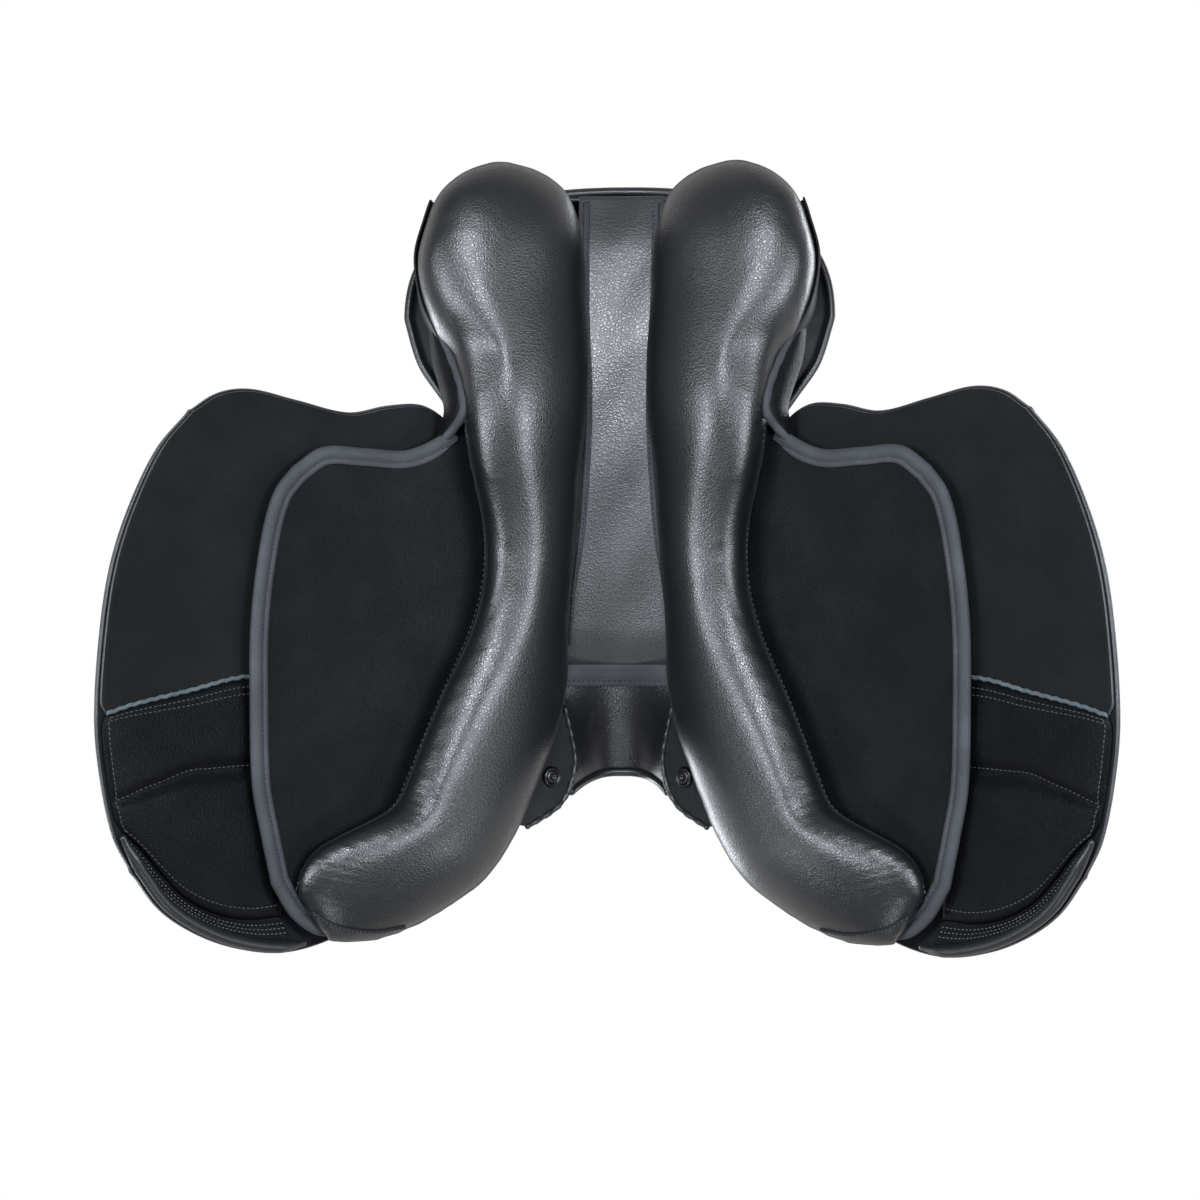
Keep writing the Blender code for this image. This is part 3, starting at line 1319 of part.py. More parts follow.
def make_bar_catch(side, word, hinge):
    """The catch beside the bar's tongue: a short lever that turns up on its pin."""
    axes = bar_frame(side)
    reach = BAR_ROD_REACH + (CATCH_THICK + TOUCH_GAP) / 2
    start = pin_y() - CATCH_WIDTH / 2
    catch = box_mesh(f"bar_catch_{word}", (CATCH_THICK, CATCH_LENGTH, CATCH_WIDTH), axes,
                     bar_spot(side, reach, start + CATCH_LENGTH / 2, rod_off()), "steel")
    combine(catch, pin_bore(side, f"catch_bore_{word}"), "DIFFERENCE")
    carry(hinge, catch)
    inner, outer = pin_ends(side, 0.0002)
    cylinder_mesh(f"catch_pin_{word}", PIN_RADIUS, inner, outer, "steel", 12)


# Girthing


def strap_rows(reach_start, reach_end, y_centre, width, off, count):
    return [
        [on_drape(reach_start + (reach_end - reach_start) * j / count, y_centre + width * (i - 0.5), off)
         for i in range(2)]
        for j in range(count + 1)
    ]


def make_girth_web(side, word):
    """The canvas web that the billets are sewn to, from the tree's rail outwards."""
    middle, width = (WEB_FRONT + WEB_REAR) / 2, WEB_REAR - WEB_FRONT
    rows = strap_rows(WEB_INNER_REACH, BILLET_TOP - TOUCH_GAP, middle, width, BILLET_LOW_OFF, 3)
    under_rail = BILLET_LOW_OFF + WEB_RISE
    rows[0] = strap_rows(WEB_INNER_REACH, BILLET_TOP, middle, width, under_rail, 1)[0]
    sheet(f"girth_web_{word}", mirrored(rows, side), Vector((side, 0, 1)), WEB_THICK, "webbing")


def billet_off(index):
    """The middle billet lies in a layer of its own, as on two crossed webs."""
    return BILLET_HIGH_OFF if index == 1 else BILLET_LOW_OFF


def billet_y(index):
    return BILLET_MIDDLE_Y + BILLET_PITCH * (index - 1)


def make_billet(side, word, index, hinge):
    """A girth strap with a pointed end, and with corners cut off its sewn end so that it can swing."""
    y = billet_y(index)
    off = billet_off(index)
    shoulder = BILLET_TOP + BILLET_LENGTH - BILLET_POINT
    rows = strap_rows(BILLET_TOP, shoulder, y, BILLET_END_WIDTH, off, 1)[:1]
    rows += strap_rows(BILLET_TOP + BILLET_END_DEPTH, shoulder, y, BILLET_WIDTH, off, 6)
    rows.append(strap_rows(shoulder, shoulder + BILLET_POINT, y, BILLET_WIDTH * 0.45, off, 1)[-1])
    billet = sheet(f"billet_{word}_{index + 1}", mirrored(rows, side), Vector((side, 0, 1)), BILLET_THICK,
                   "billet_leather")
    carry(hinge, billet)


def build():
    """Makes every piece, with an empty on each joint's axis."""
    make_tree()
    make_head_plate()
    make_seat_webbing()
    make_seat_foam()
    make_seat_cover()
    make_seat_welt()
    make_cantle_roll()
    make_gullet_lining()
    make_front_gullet_lining()
    make_cross_binding()
    make_pommel_facing()
    make_pommel_piping()
    for side, word in SIDES:
        make_seat_side(side, word)
        make_seat_edge_roll(side, word)
        make_tree_spring(side, word)
        make_panel(side, word)
        make_panel_flap(side, word)
        make_panel_binding(side, word)
        make_gusset(side, word)
        make_channel_binding(side, word)
        make_point_pocket(side, word)
        make_pocket_screw(side, word)
        axis = on_drape(HINGE_REACH, 0.0, HINGE_OFF)
        hinge = pivot(f"flap_hinge_{word}", (side * axis.x, 0.0, axis.z))
        make_flap(side, word, hinge)
        make_skirt(side, word, hinge)
        make_stirrup_bar(side, word)
        turning_point = bar_spot(side, BAR_ROD_REACH, pin_y(), rod_off())
        make_bar_catch(side, word, pivot(f"catch_pivot_{word}", turning_point))
        make_girth_web(side, word)
        for index in range(3):
            root = on_drape(BILLET_TOP, billet_y(index), billet_off(index))
            hinge = pivot(f"billet_root_{word}_{index + 1}", (side * root.x, root.y, root.z))
            make_billet(side, word, index, hinge)


clear_scene()
PARTS = new_collection("jumping_saddle")
CUTTERS = new_collection("cutters")
build()
bpy.context.view_layer.update()
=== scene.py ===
"""Looks of an English jumping saddle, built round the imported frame.

Metres, +Z up, front towards -Y, the rider's left towards +X. A place on the drape that the panels
and flaps follow is (reach, y): reach is the length from the centreline along the drape, and off is
the height above the side that faces the horse.
"""

from __future__ import annotations

import logging
import math
from dataclasses import dataclass
from enum import Enum

import bmesh
import bpy
import numpy as np
from mathutils import Matrix, Vector
from mathutils.bvhtree import BVHTree


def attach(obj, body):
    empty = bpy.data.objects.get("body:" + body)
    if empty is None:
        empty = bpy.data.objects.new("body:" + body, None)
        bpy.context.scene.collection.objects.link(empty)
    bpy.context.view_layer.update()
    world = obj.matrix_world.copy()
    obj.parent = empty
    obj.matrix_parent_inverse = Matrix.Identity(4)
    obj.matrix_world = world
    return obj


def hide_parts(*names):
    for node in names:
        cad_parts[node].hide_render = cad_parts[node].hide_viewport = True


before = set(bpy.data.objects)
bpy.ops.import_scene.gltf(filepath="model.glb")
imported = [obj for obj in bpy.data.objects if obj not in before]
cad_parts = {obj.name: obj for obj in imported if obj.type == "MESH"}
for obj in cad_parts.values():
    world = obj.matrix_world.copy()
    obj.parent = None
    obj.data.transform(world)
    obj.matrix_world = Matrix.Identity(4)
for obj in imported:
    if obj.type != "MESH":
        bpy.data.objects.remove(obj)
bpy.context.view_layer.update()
LOG = logging.getLogger("saddle")
Array = np.ndarray
Color = tuple[float, float, float]
BODY = "saddle_body"
TOUCH = 0.0004  # between pieces that lie on each other
PIXEL = 0.00078  # what one pixel of the photo stands for, at the panels
STITCH_RINGS, STITCH_FACETS = 5, 6


class Side(Enum):
    """The rider's left and right."""

    LEFT = 1
    RIGHT = -1

    @property
    def word(self) -> str:
        """The side as it stands in the names of pieces."""
        return self.name.lower()


# Shader graphs


class Signal:
    """The output of a shader node, which takes part in Python expressions."""

    def __init__(self, graph: Graph, socket: bpy.types.NodeSocket) -> None:
        """Keeps the socket and the graph that it belongs to."""
        self.graph = graph
        self.socket = socket

    def __add__(self, other: Signal | float) -> Signal:
        """Sum."""
        return self.graph.math("ADD", self, other)

    def __radd__(self, other: float) -> Signal:
        """Sum with a number on the left."""
        return self.graph.math("ADD", other, self)

    def __sub__(self, other: Signal | float) -> Signal:
        """Difference."""
        return self.graph.math("SUBTRACT", self, other)

    def __rsub__(self, other: float) -> Signal:
        """Difference from a number on the left."""
        return self.graph.math("SUBTRACT", other, self)

    def __mul__(self, other: Signal | float) -> Signal:
        """Product."""
        return self.graph.math("MULTIPLY", self, other)

    def __rmul__(self, other: float) -> Signal:
        """Product with a number on the left."""
        return self.graph.math("MULTIPLY", other, self)


class Graph:
    """A new material and the nodes that feed its surface shader."""

    def __init__(self, name: str) -> None:
        """Makes the material, which holds one surface shader.

        Args:
            name: the material's name.
        """
        self.material = bpy.data.materials.new(name)
        self.material.use_nodes = True
        self.tree = self.material.node_tree
        self.shader = self.tree.nodes["Principled BSDF"]

    def node(self, kind: str, settings: dict, inputs: dict, output: int | str = 0) -> Signal:
        """Adds a node.

        Args:
            kind: the node's type, without its ShaderNode prefix.
            settings: properties that are set first.
            inputs: values or signals for its sockets, by name or number.
            output: the socket to hand back.

        Returns:
            The signal at that output.
        """
        made = self.tree.nodes.new("ShaderNode" + kind)
        for key, value in settings.items():
            setattr(made, key, value)
        for key, value in inputs.items():
            self.feed(made.inputs[key], value)
        return Signal(self, made.outputs[output])

    def feed(self, socket: bpy.types.NodeSocket, value: Signal | float | tuple) -> None:
        """Links a signal to a socket, or sets the socket's own value.

        Args:
            socket: the input.
            value: a signal, a number, a vector or a colour.
        """
        if isinstance(value, Signal):
            self.tree.links.new(value.socket, socket)
        elif isinstance(value, tuple) and len(value) == 3 and socket.type == "RGBA":
            socket.default_value = (*value, 1.0)
        else:
            socket.default_value = value

    def math(self, operation: str, first: Signal | float, second: Signal | float) -> Signal:
        """One Math node over two values."""
        return self.node("Math", {"operation": operation}, {0: first, 1: second})

    def clamp(self, value: Signal) -> Signal:
        """The value held between 0 and 1."""
        return self.node("Clamp", {}, {0: value})

    def mix(self, factor: Signal | float, first: Signal | Color, second: Signal | Color) -> Signal:
        """A colour between two colours."""
        return self.node("Mix", {"data_type": "RGBA"}, {0: factor, 6: first, 7: second}, 2)

    def noise(self, where: Signal, size: float, detail: float = 3.0, roughness: float = 0.55) -> Signal:
        """Noise whose lumps are about this large, in metres."""
        return self.node("TexNoise", {}, {"Vector": where, "Scale": 1.0 / size, "Detail": detail,
                                          "Roughness": roughness})

    def cells(self, where: Signal, size: float) -> Signal:
        """The distance to the edges of cells that are about this large, in metres."""
        return self.node("TexVoronoi", {"feature": "DISTANCE_TO_EDGE"},
                         {"Vector": where, "Scale": 1.0 / size}, "Distance")

    def smooth(self, value: Signal, low: float, high: float) -> Signal:
        """A smooth step from 0 at low to 1 at high."""
        return self.node("MapRange", {"interpolation_type": "SMOOTHSTEP"},
                         {"Value": value, "From Min": low, "From Max": high})

    def places(self) -> Signal:
        """Object coordinates, which are metres in the frame of the part."""
        return self.node("TexCoord", {}, {}, "Object")

    def shifted(self, where: Signal, amount: float, size: float) -> Signal:
        """Coordinates pushed about by noise, so that a pattern loses its regularity.

        Args:
            where: the coordinates.
            amount: how far they move, in metres.
            size: the size of the noise's lumps, in metres.

        Returns:
            The moved coordinates.
        """
        push = self.node("TexNoise", {}, {"Vector": where, "Scale": 1.0 / size, "Detail": 2.0}, "Color")
        return self.node("VectorMath", {"operation": "MULTIPLY_ADD"},
                         {0: push, 1: (amount, amount, amount), 2: where})

    def stretched(self, where: Signal, scale: tuple[float, float, float]) -> Signal:
        """Coordinates scaled along each axis."""
        return self.node("VectorMath", {"operation": "MULTIPLY"}, {0: where, 1: scale})

    def bump(self, height: Signal, depth: float, below: Signal | None = None) -> Signal:
        """A normal bent by a height.

        Args:
            height: from 0 to 1.
            depth: what 1 stands for, in metres.
            below: a normal that this one adds to.

        Returns:
            The normal.
        """
        inputs: dict = {"Height": height, "Distance": depth, "Strength": 1.0}
        if below is not None:
            inputs["Normal"] = below
        return self.node("Bump", {}, inputs)

    def dress(self, **inputs: Signal | float | tuple) -> bpy.types.Material:
        """Feeds the surface shader; a socket's name is written with underscores."""
        for key, value in inputs.items():
            self.feed(self.shader.inputs[key.replace("_", " ")], value)
        return self.material


@dataclass(frozen=True)
class Finish:
    """A named finish; each kind of finish paints its own graph."""

    name: str

    def paint(self, graph: Graph) -> None:
        """Feeds the graph's surface shader."""
        raise NotImplementedError

    def material(self) -> bpy.types.Material:
        """The material, made the first time it is asked for.

        Returns:
            The material.
        """
        made = bpy.data.materials.get("finish_" + self.name)
        if made is None:
            graph = Graph("finish_" + self.name)
            self.paint(graph)
            made = graph.material
        return made


@dataclass(frozen=True)
class Leather(Finish):
    """Dyed leather: pebbled grain with finer pores, slow random changes of tone and painted shade in the
    creases between pebbles.
    """

    dark: Color = (0.0060, 0.0063, 0.0072)
    pale: Color = (0.0150, 0.0158, 0.0180)
    roughness: float = 0.42
    grain: float = 0.0026
    depth: float = 0.00022
    pore: float = 0.0006
    crease: float = 0.0002
    specular: float = 0.5
    grazing: float = 0.50

    def paint(self, graph: Graph) -> None:
        """Pebbles from cell edges, pores from fine noise, creases from slow noise; painted shade darkens the
        colour in the creases between pebbles.

        Args:
            graph: the new material's nodes.
        """
        where = graph.places()
        loose = graph.shifted(where, self.grain * 0.9, self.grain * 3.5)
        pebbles = graph.smooth(graph.cells(loose, self.grain), 0.0, 0.30)
        fine = graph.smooth(graph.cells(loose, self.grain * 0.42), 0.0, 0.35)
        pores = graph.noise(where, self.pore, 2.0)
        slow = graph.noise(where, 0.045, 4.0, 0.6)
        height = pebbles * 0.68 + fine * 0.20 + pores * 0.12
        creases = graph.bump(graph.noise(graph.shifted(where, 0.012, 0.030), 0.014, 5.0, 0.62), self.crease)
        worn = graph.smooth(slow, 0.38, 0.72)
        rim = graph.smooth(graph.node("LayerWeight", {}, {"Blend": 0.5}, "Facing"), 0.60, 0.95)
        polish = self.roughness + 0.10 * (1 - pebbles) - 0.06 * worn + 0.05 * pores
        graph.dress(
            # base colour: lighter on the pebbles and in slow random patches, darker in the creases between
            # pebbles as painted shade
            Base_Color=graph.mix(graph.clamp(pebbles * 0.55 + worn * 0.45), self.dark, self.pale),
            Roughness=graph.clamp(polish + self.grazing * rim),
            Specular_IOR_Level=self.specular,
            Normal=graph.bump(height, self.depth, creases),
        )


@dataclass(frozen=True)
class RawEdge(Finish):
    """The fibres of a cut or dyed edge."""

    dark: Color = (0.036, 0.050, 0.058)
    pale: Color = (0.085, 0.114, 0.130)
    roughness: float = 0.7
    fibre: float = 0.0012

    def paint(self, graph: Graph) -> None:
        """Short fibres from stretched noise.

        Args:
            graph: the new material's nodes.
        """
        where = graph.places()
        fibres = graph.noise(graph.stretched(where, (1.0, 1.0, 3.0)), self.fibre, 4.0, 0.65)
        slow = graph.smooth(graph.noise(where, 0.012, 2.0), 0.35, 0.70)
        graph.dress(
            Base_Color=graph.mix(graph.clamp(fibres * 0.7 + slow * 0.4), self.dark, self.pale),
            Roughness=graph.clamp(self.roughness + 0.15 * fibres - 0.08),
            Normal=graph.bump(fibres, 0.00025),
        )


@dataclass(frozen=True)
class Thread(Finish):
    """Waxed thread."""

    dark: Color = (0.020, 0.021, 0.024)
    pale: Color = (0.060, 0.063, 0.070)
    roughness: float = 0.5

    def paint(self, graph: Graph) -> None:
        """Strands from fine noise.

        Args:
            graph: the new material's nodes.
        """
        where = graph.places()
        strands = graph.noise(where, 0.0005, 2.0)
        slow = graph.smooth(graph.noise(where, 0.02, 2.0), 0.3, 0.7)
        graph.dress(
            Base_Color=graph.mix(graph.clamp(strands * 0.6 + slow * 0.5), self.dark, self.pale),
            Roughness=graph.clamp(self.roughness + 0.2 * strands),
            Normal=graph.bump(strands, 0.0001),
        )


@dataclass(frozen=True)
class Metal(Finish):
    """Metal with fine scratches and clouded polish."""

    dark: Color = (0.45, 0.45, 0.46)
    pale: Color = (0.60, 0.60, 0.61)
    roughness: float = 0.30
    scratch: float = 0.00004

    def paint(self, graph: Graph) -> None:
        """Scratches from long thin noise, cloudy patches in the polish.

        Args:
            graph: the new material's nodes.
        """
        where = graph.places()
        lines = graph.noise(graph.stretched(where, (1.0, 0.12, 1.0)), 0.0009, 3.0, 0.6)
        cloud = graph.smooth(graph.noise(where, 0.009, 4.0, 0.6), 0.35, 0.72)
        graph.dress(
            Base_Color=graph.mix(graph.clamp(cloud * 0.7 + lines * 0.3), self.dark, self.pale),
            Metallic=1.0,
            Roughness=graph.clamp(self.roughness + 0.14 * (1 - cloud) + 0.10 * lines),
            Normal=graph.bump(lines, self.scratch),
        )


@dataclass(frozen=True)
class Wood(Finish):
    """Laminated beech under varnish, with dark glue lines and pores along the grain."""

    dark: Color = (0.030, 0.018, 0.010)
    pale: Color = (0.110, 0.068, 0.036)
    roughness: float = 0.5

    def paint(self, graph: Graph) -> None:
        """Growth lines along the saddle.

        Args:
            graph: the new material's nodes.
        """
        where = graph.shifted(graph.places(), 0.006, 0.05)
        rings = graph.noise(graph.stretched(where, (1.0, 0.06, 1.0)), 0.004, 5.0, 0.6)
        pores = graph.noise(graph.stretched(where, (1.0, 0.10, 1.0)), 0.0008, 2.0)
        graph.dress(
            Base_Color=graph.mix(graph.smooth(rings * 0.75 + pores * 0.25, 0.35, 0.68), self.dark,
                                 self.pale),
            Roughness=graph.clamp(self.roughness + 0.2 * pores),
            Normal=graph.bump(rings * 0.6 + pores * 0.4, 0.00018),
        )


@dataclass(frozen=True)
class Woven(Finish):
    """Plain weave of webbing."""

    dark: Color = (0.20, 0.18, 0.14)
    pale: Color = (0.52, 0.48, 0.39)
    roughness: float = 0.85
    yarn: float = 0.0014

    def paint(self, graph: Graph) -> None:
        """Two crossing sets of yarns.

        Args:
            graph: the new material's nodes.
        """
        where = graph.shifted(graph.places(), 0.0005, 0.004)
        rate = math.pi / self.yarn / 20.0
        warp = graph.node("TexWave", {"bands_direction": "X"}, {"Vector": where, "Scale": rate})
        weft = graph.node("TexWave", {"bands_direction": "Y"}, {"Vector": where, "Scale": rate})
        fuzz = graph.noise(where, 0.0006, 3.0)
        height = warp * weft * 0.7 + fuzz * 0.3
        graph.dress(
            Base_Color=graph.mix(graph.clamp(height * 1.1), self.dark, self.pale),
            Roughness=graph.clamp(self.roughness + 0.1 * fuzz),
            Normal=graph.bump(height, 0.0004),
        )


PANEL_LEATHER = Leather("panel_leather", dark=(0.0030, 0.0032, 0.0037), pale=(0.0085, 0.0090, 0.0104),
                        roughness=0.29, grain=0.0026, depth=0.00010, crease=0.00005, specular=0.64)
GUSSET_LEATHER = Leather("gusset_leather", roughness=0.48, grain=0.0012, depth=0.00006, specular=0.18)
SWEAT_LEATHER = Leather("sweat_flap_leather", dark=(0.0035, 0.0036, 0.0040), pale=(0.0085, 0.0088, 0.0098),
                        roughness=0.36, grain=0.0021, depth=0.00012, specular=0.07)
FLAP_BACK = Leather("flap_back", dark=(0.0045, 0.0046, 0.0050), pale=(0.0085, 0.0086, 0.0092),
                    roughness=0.72, grain=0.0008, depth=0.00003, pore=0.0004, specular=0.14)
FLAP_FACE = Leather("flap_face", roughness=0.44, grain=0.0013, depth=0.00008, crease=0.00012, specular=0.28)
SEAT_LEATHER = Leather("seat_leather", roughness=0.40, grain=0.0016, depth=0.00012, crease=0.00012,
                       specular=0.32)
PAD_LEATHER = Leather("knee_pad_leather", dark=(0.0016, 0.0017, 0.0020), pale=(0.0044, 0.0046, 0.0054),
                      roughness=0.34, grain=0.0025, depth=0.00018, specular=0.08)
GULLET_LEATHER = Leather("gullet_leather", dark=(0.0090, 0.0095, 0.0110), pale=(0.0240, 0.0252, 0.0285),
                         roughness=0.33, grain=0.0028, depth=0.00011, crease=0.00014, specular=0.9)
POCKET_LEATHER = Leather("point_pocket_leather", roughness=0.44, grain=0.0018, depth=0.00010, specular=0.22)
FRONT_LEATHER = Leather("front_gullet_leather", dark=(0.0045, 0.0047, 0.0054), pale=(0.0095, 0.0100, 0.0115),
                        roughness=0.27, grain=0.0022, depth=0.00010, specular=0.6)
BINDING_LEATHER = Leather("binding_leather", dark=(0.026, 0.028, 0.032), pale=(0.055, 0.059, 0.067),
                          roughness=0.62, grain=0.0010, depth=0.00005, crease=0.00010, specular=0.35)
ROLL_LEATHER = Leather("roll_leather", roughness=0.30, grain=0.0014, depth=0.00005, crease=0.00018)
BILLET_LEATHER = Leather("billet_leather", roughness=0.50, grain=0.0010, depth=0.00005,
                         dark=(0.010, 0.009, 0.008), pale=(0.022, 0.019, 0.017))
DYED_EDGE = Leather("dyed_edge", dark=(0.020, 0.021, 0.023), pale=(0.055, 0.057, 0.062), roughness=0.28,
                    grain=0.0009, depth=0.00008, crease=0.0001)
RAW_EDGE = RawEdge("raw_edge")
THREAD = Thread("thread")
BLACK_THREAD = Thread("black_thread", dark=(0.004, 0.004, 0.005), pale=(0.016, 0.017, 0.019))
PALE_THREAD = Thread("pale_thread", dark=(0.045, 0.048, 0.054), pale=(0.130, 0.136, 0.148), roughness=0.6)
DARK_NICKEL = Metal("dark_nickel", dark=(0.030, 0.030, 0.033), pale=(0.070, 0.070, 0.076), roughness=0.22)
STEEL = Metal("steel")
LAMINATE = Wood("tree_laminate", dark=(0.030, 0.018, 0.011), pale=(0.085, 0.052, 0.032))
WEBBING = Woven("webbing")


# Curves and surfaces


def smooth_path(points: tuple | list | Array, steps: int = 14) -> Array:
    """Dense points of a smooth curve through the given ones, with tangents by chord length.

    Args:
        points: knots in two or three dimensions.
        steps: points made for each span.

    Returns:
        The points of the curve.
    """
    knots = np.array(points, float)
    chords = np.linalg.norm(np.diff(knots, axis=0), axis=1)
    middle = (knots[2:] - knots[:-2]) / (chords[1:] + chords[:-1])[:, None]
    tangents = np.vstack([(knots[1] - knots[0]) / chords[0], middle, (knots[-1] - knots[-2]) / chords[-1]])
    t = (np.arange(steps) / steps)[None, :, None]
    square, cube = t * t, t * t * t
    span = chords[:, None, None]
    path = (
        knots[:-1, None] * (2 * cube - 3 * square + 1)
        + tangents[:-1, None] * span * (cube - 2 * square + t)
        + knots[1:, None] * (3 * square - 2 * cube)
        + tangents[1:, None] * span * (cube - square)
    )
    return np.vstack([path.reshape(-1, knots.shape[1]), knots[-1:]])


def lengths_of(path: Array) -> Array:
    """The length along a path at each of its points."""
    return np.concatenate([[0.0], np.cumsum(np.linalg.norm(np.diff(path, axis=0), axis=1))])


def along(path: Array, shares: Array | float) -> Array:
    """Points at shares of a path's length.

    Args:
        path: points of the path.
        shares: from 0 to 1.

    Returns:
        One point for each share.
    """
    lengths = lengths_of(path)
    wanted = np.clip(np.atleast_1d(shares), 0, 1) * lengths[-1]
    return np.stack([np.interp(wanted, lengths, path[:, k]) for k in range(path.shape[1])], axis=1)


def even(path: Array, count: int) -> Array:
    """This many points at equal lengths along a path."""
    return along(path, np.linspace(0, 1, count))


def profile(pairs: tuple, x: Array | float) -> Array:
    """A smooth value through (x, value) pairs that never overshoots them.

    Args:
        pairs: the pairs, in order of x.
        x: where to read it.

    Returns:
        The values at x.
    """
    xs, ys = np.array(pairs, float).T
    spans = np.diff(xs)
    slopes = np.diff(ys) / spans
    rising = slopes[:-1] * slopes[1:] > 0
    total = np.where(rising, slopes[:-1] + slopes[1:], 1.0)
    middle = np.where(rising, 2 * slopes[:-1] * slopes[1:] / total, 0.0)
    tangents = np.concatenate([[slopes[0]], middle, [slopes[-1]]])
    where = np.clip(np.asarray(x, float), xs[0], xs[-1])
    i = np.clip(np.searchsorted(xs, where, side="right") - 1, 0, len(spans) - 1)
    t = (where - xs[i]) / spans[i]
    square, cube = t * t, t * t * t
    return (
        ys[i] * (2 * cube - 3 * square + 1)
        + tangents[i] * spans[i] * (cube - 2 * square + t)
        + ys[i + 1] * (3 * square - 2 * cube)
        + tangents[i + 1] * spans[i] * (cube - square)
    )


def ease(t: Array | float) -> Array:
    """A smooth step from 0 to 1."""
    held = np.clip(t, 0, 1)
    return held * held * (3 - 2 * held)


def blend(first: Array, second: Array, share: Array | float) -> Array:
    """The first where the share is 0, the second where it is 1."""
    return first * (1 - share) + second * share


def tapered(count: int, reach: float) -> Array:
    """Values along a path: 0 at both of its ends, and 1 from this share of its length inwards."""
    share = np.linspace(0, 1, count)
    return ease(np.minimum(share, 1 - share) / reach)


def unit(vectors: Array) -> Array:
    """Vectors of length 1."""
    return vectors / np.maximum(np.linalg.norm(vectors, axis=-1, keepdims=True), 1e-12)


def tangents_of(path: Array) -> Array:
    """Unit tangents along a path."""
    return unit(np.gradient(path, axis=0))


def patch(near: Array, far: Array, start: Array, end: Array, columns: int, rows: int) -> Array:
    """Places over a four-sided patch; row 0 lies on near and column 0 on start.

    Args:
        near: the edge at row 0.
        far: the edge at the last row.
        start: the edge at column 0.
        end: the edge at the last column.
        columns: cells along near.
        rows: cells along start.

    Returns:
        Places, rows by columns by 2.
    """
    s = np.linspace(0, 1, columns + 1)
    t = np.linspace(0, 1, rows + 1)[:, None, None]
    across = s[None, :, None]
    near_at, far_at = along(near, s)[None], along(far, s)[None]
    start_at, end_at = along(start, t.ravel())[:, None], along(end, t.ravel())[:, None]
    corners = blend(blend(near[0], near[-1], across), blend(far[0], far[-1], across), t)
    return near_at * (1 - t) + far_at * t + start_at * (1 - across) + end_at * across - corners


@dataclass(frozen=True)
class Drape:
    """The cross-section that the panels and flaps lie on."""

    top: float = 0.062
    crown_radius: float = 0.110
    shoulder: float = math.radians(30)
    side_radius: float = 1.43
    rear_lift: float = 0.037
    lift_start: float = 0.10
    lift_end: float = 0.28
    lift_reach: float = 0.174

    def slope(self, reach: Array | float) -> Array:
        """The slope at a reach, in radians.

        Args:
            reach: lengths along the drape from the centreline.

        Returns:
            The slopes.
        """
        crown = self.crown_radius * self.shoulder
        reach = np.asarray(reach, float)
        return np.where(reach <= crown, reach / self.crown_radius,
                        self.shoulder + (reach - crown) / self.side_radius)

    def at(self, reach: Array, y: Array, off: Array | float = 0.0) -> Array:
        """World points at places on the drape.

        Args:
            reach: lengths along the drape from the centreline.
            y: places along the saddle.
            off: heights above the drape's inner side.

        Returns:
            Points, with one more axis than reach.
        """
        slope = self.slope(reach)
        inner = slope <= self.shoulder + 1e-12
        sin_shoulder, cos_shoulder = math.sin(self.shoulder), math.cos(self.shoulder)
        x = np.where(inner, self.crown_radius * np.sin(slope),
                     self.crown_radius * sin_shoulder + self.side_radius * (np.sin(slope) - sin_shoulder))
        z = np.where(inner, self.top - self.crown_radius * (1 - np.cos(slope)),
                     self.top - self.crown_radius * (1 - cos_shoulder)
                     - self.side_radius * (cos_shoulder - np.cos(slope)))
        return np.stack([x + off * np.sin(slope), np.asarray(y) + 0 * x, z + off * np.cos(slope)], axis=-1)

    def on(self, places: Array, off: Array | float = 0.0) -> Array:
        """World points at (reach, y) places."""
        return self.at(places[..., 0], places[..., 1], off)

    def normal(self, reach: Array | float) -> Array:
        """The unit vector off the drape, away from the horse."""
        slope = self.slope(reach)
        return np.stack([np.sin(slope), 0 * slope, np.cos(slope)], axis=-1)

    def lifted(self, places: Array) -> Array:
        """World points where the rear lobes lie: the sides rise towards the cantle.

        Args:
            places: (reach, y) places.

        Returns:
            World points.
        """
        points = self.on(places)
        rise = self.rear_lift * ease((places[..., 1] - self.lift_start) / (self.lift_end - self.lift_start))
        points[..., 2] += rise * places[..., 0] / self.lift_reach
        return points


DRAPE = Drape()


# Meshes


def flipped(points: Array, side: Side) -> Array:
    """Points of the left side carried over to a side."""
    return points * np.array([side.value, 1.0, 1.0])


def sided(side: Side | None, name: str, *grids: Array) -> tuple:
    """A name and points of the left side carried over to a side, or left alone without one.

    Args:
        side: which side.
        name: the name without its side.
        grids: the points, or vectors.

    Returns:
        The full name and the points.
    """
    if side is None:
        return name, *grids
    return f"{name}_{side.word}", *(flipped(grid, side) for grid in grids)


def grid_faces(rows: int, columns: int, wrap: bool = False) -> Array:
    """Quads over a grid of points.

    Args:
        rows: rows of points.
        columns: points in each row.
        wrap: whether the last column meets the first.

    Returns:
        Four point numbers for each quad.
    """
    j = np.arange(rows - 1)[:, None]
    i = np.arange(columns if wrap else columns - 1)[None, :]
    k = (i + 1) % columns
    quads = np.stack([j * columns + i, j * columns + k, (j + 1) * columns + k, (j + 1) * columns + i], -1)
    return quads.reshape(-1, 4)


def make_mesh(name: str, points: Array, faces: list, marks: list | None = None) -> bpy.types.Mesh:
    """A smooth-shaded mesh whose faces turn outwards.

    Args:
        name: the mesh's name.
        points: world points.
        faces: point numbers of each face.
        marks: the material slot of each face.

    Returns:
        The mesh.
    """
    mesh = bpy.data.meshes.new(name)
    mesh.from_pydata(np.asarray(points, float).tolist(), [], [list(map(int, face)) for face in faces])
    if marks is not None:
        mesh.polygons.foreach_set("material_index", np.array(marks, np.int32))
    bm = bmesh.new()
    bm.from_mesh(mesh)
    bmesh.ops.recalc_face_normals(bm, faces=bm.faces)
    bm.to_mesh(mesh)
    bm.free()
    mesh.shade_smooth()
    return mesh


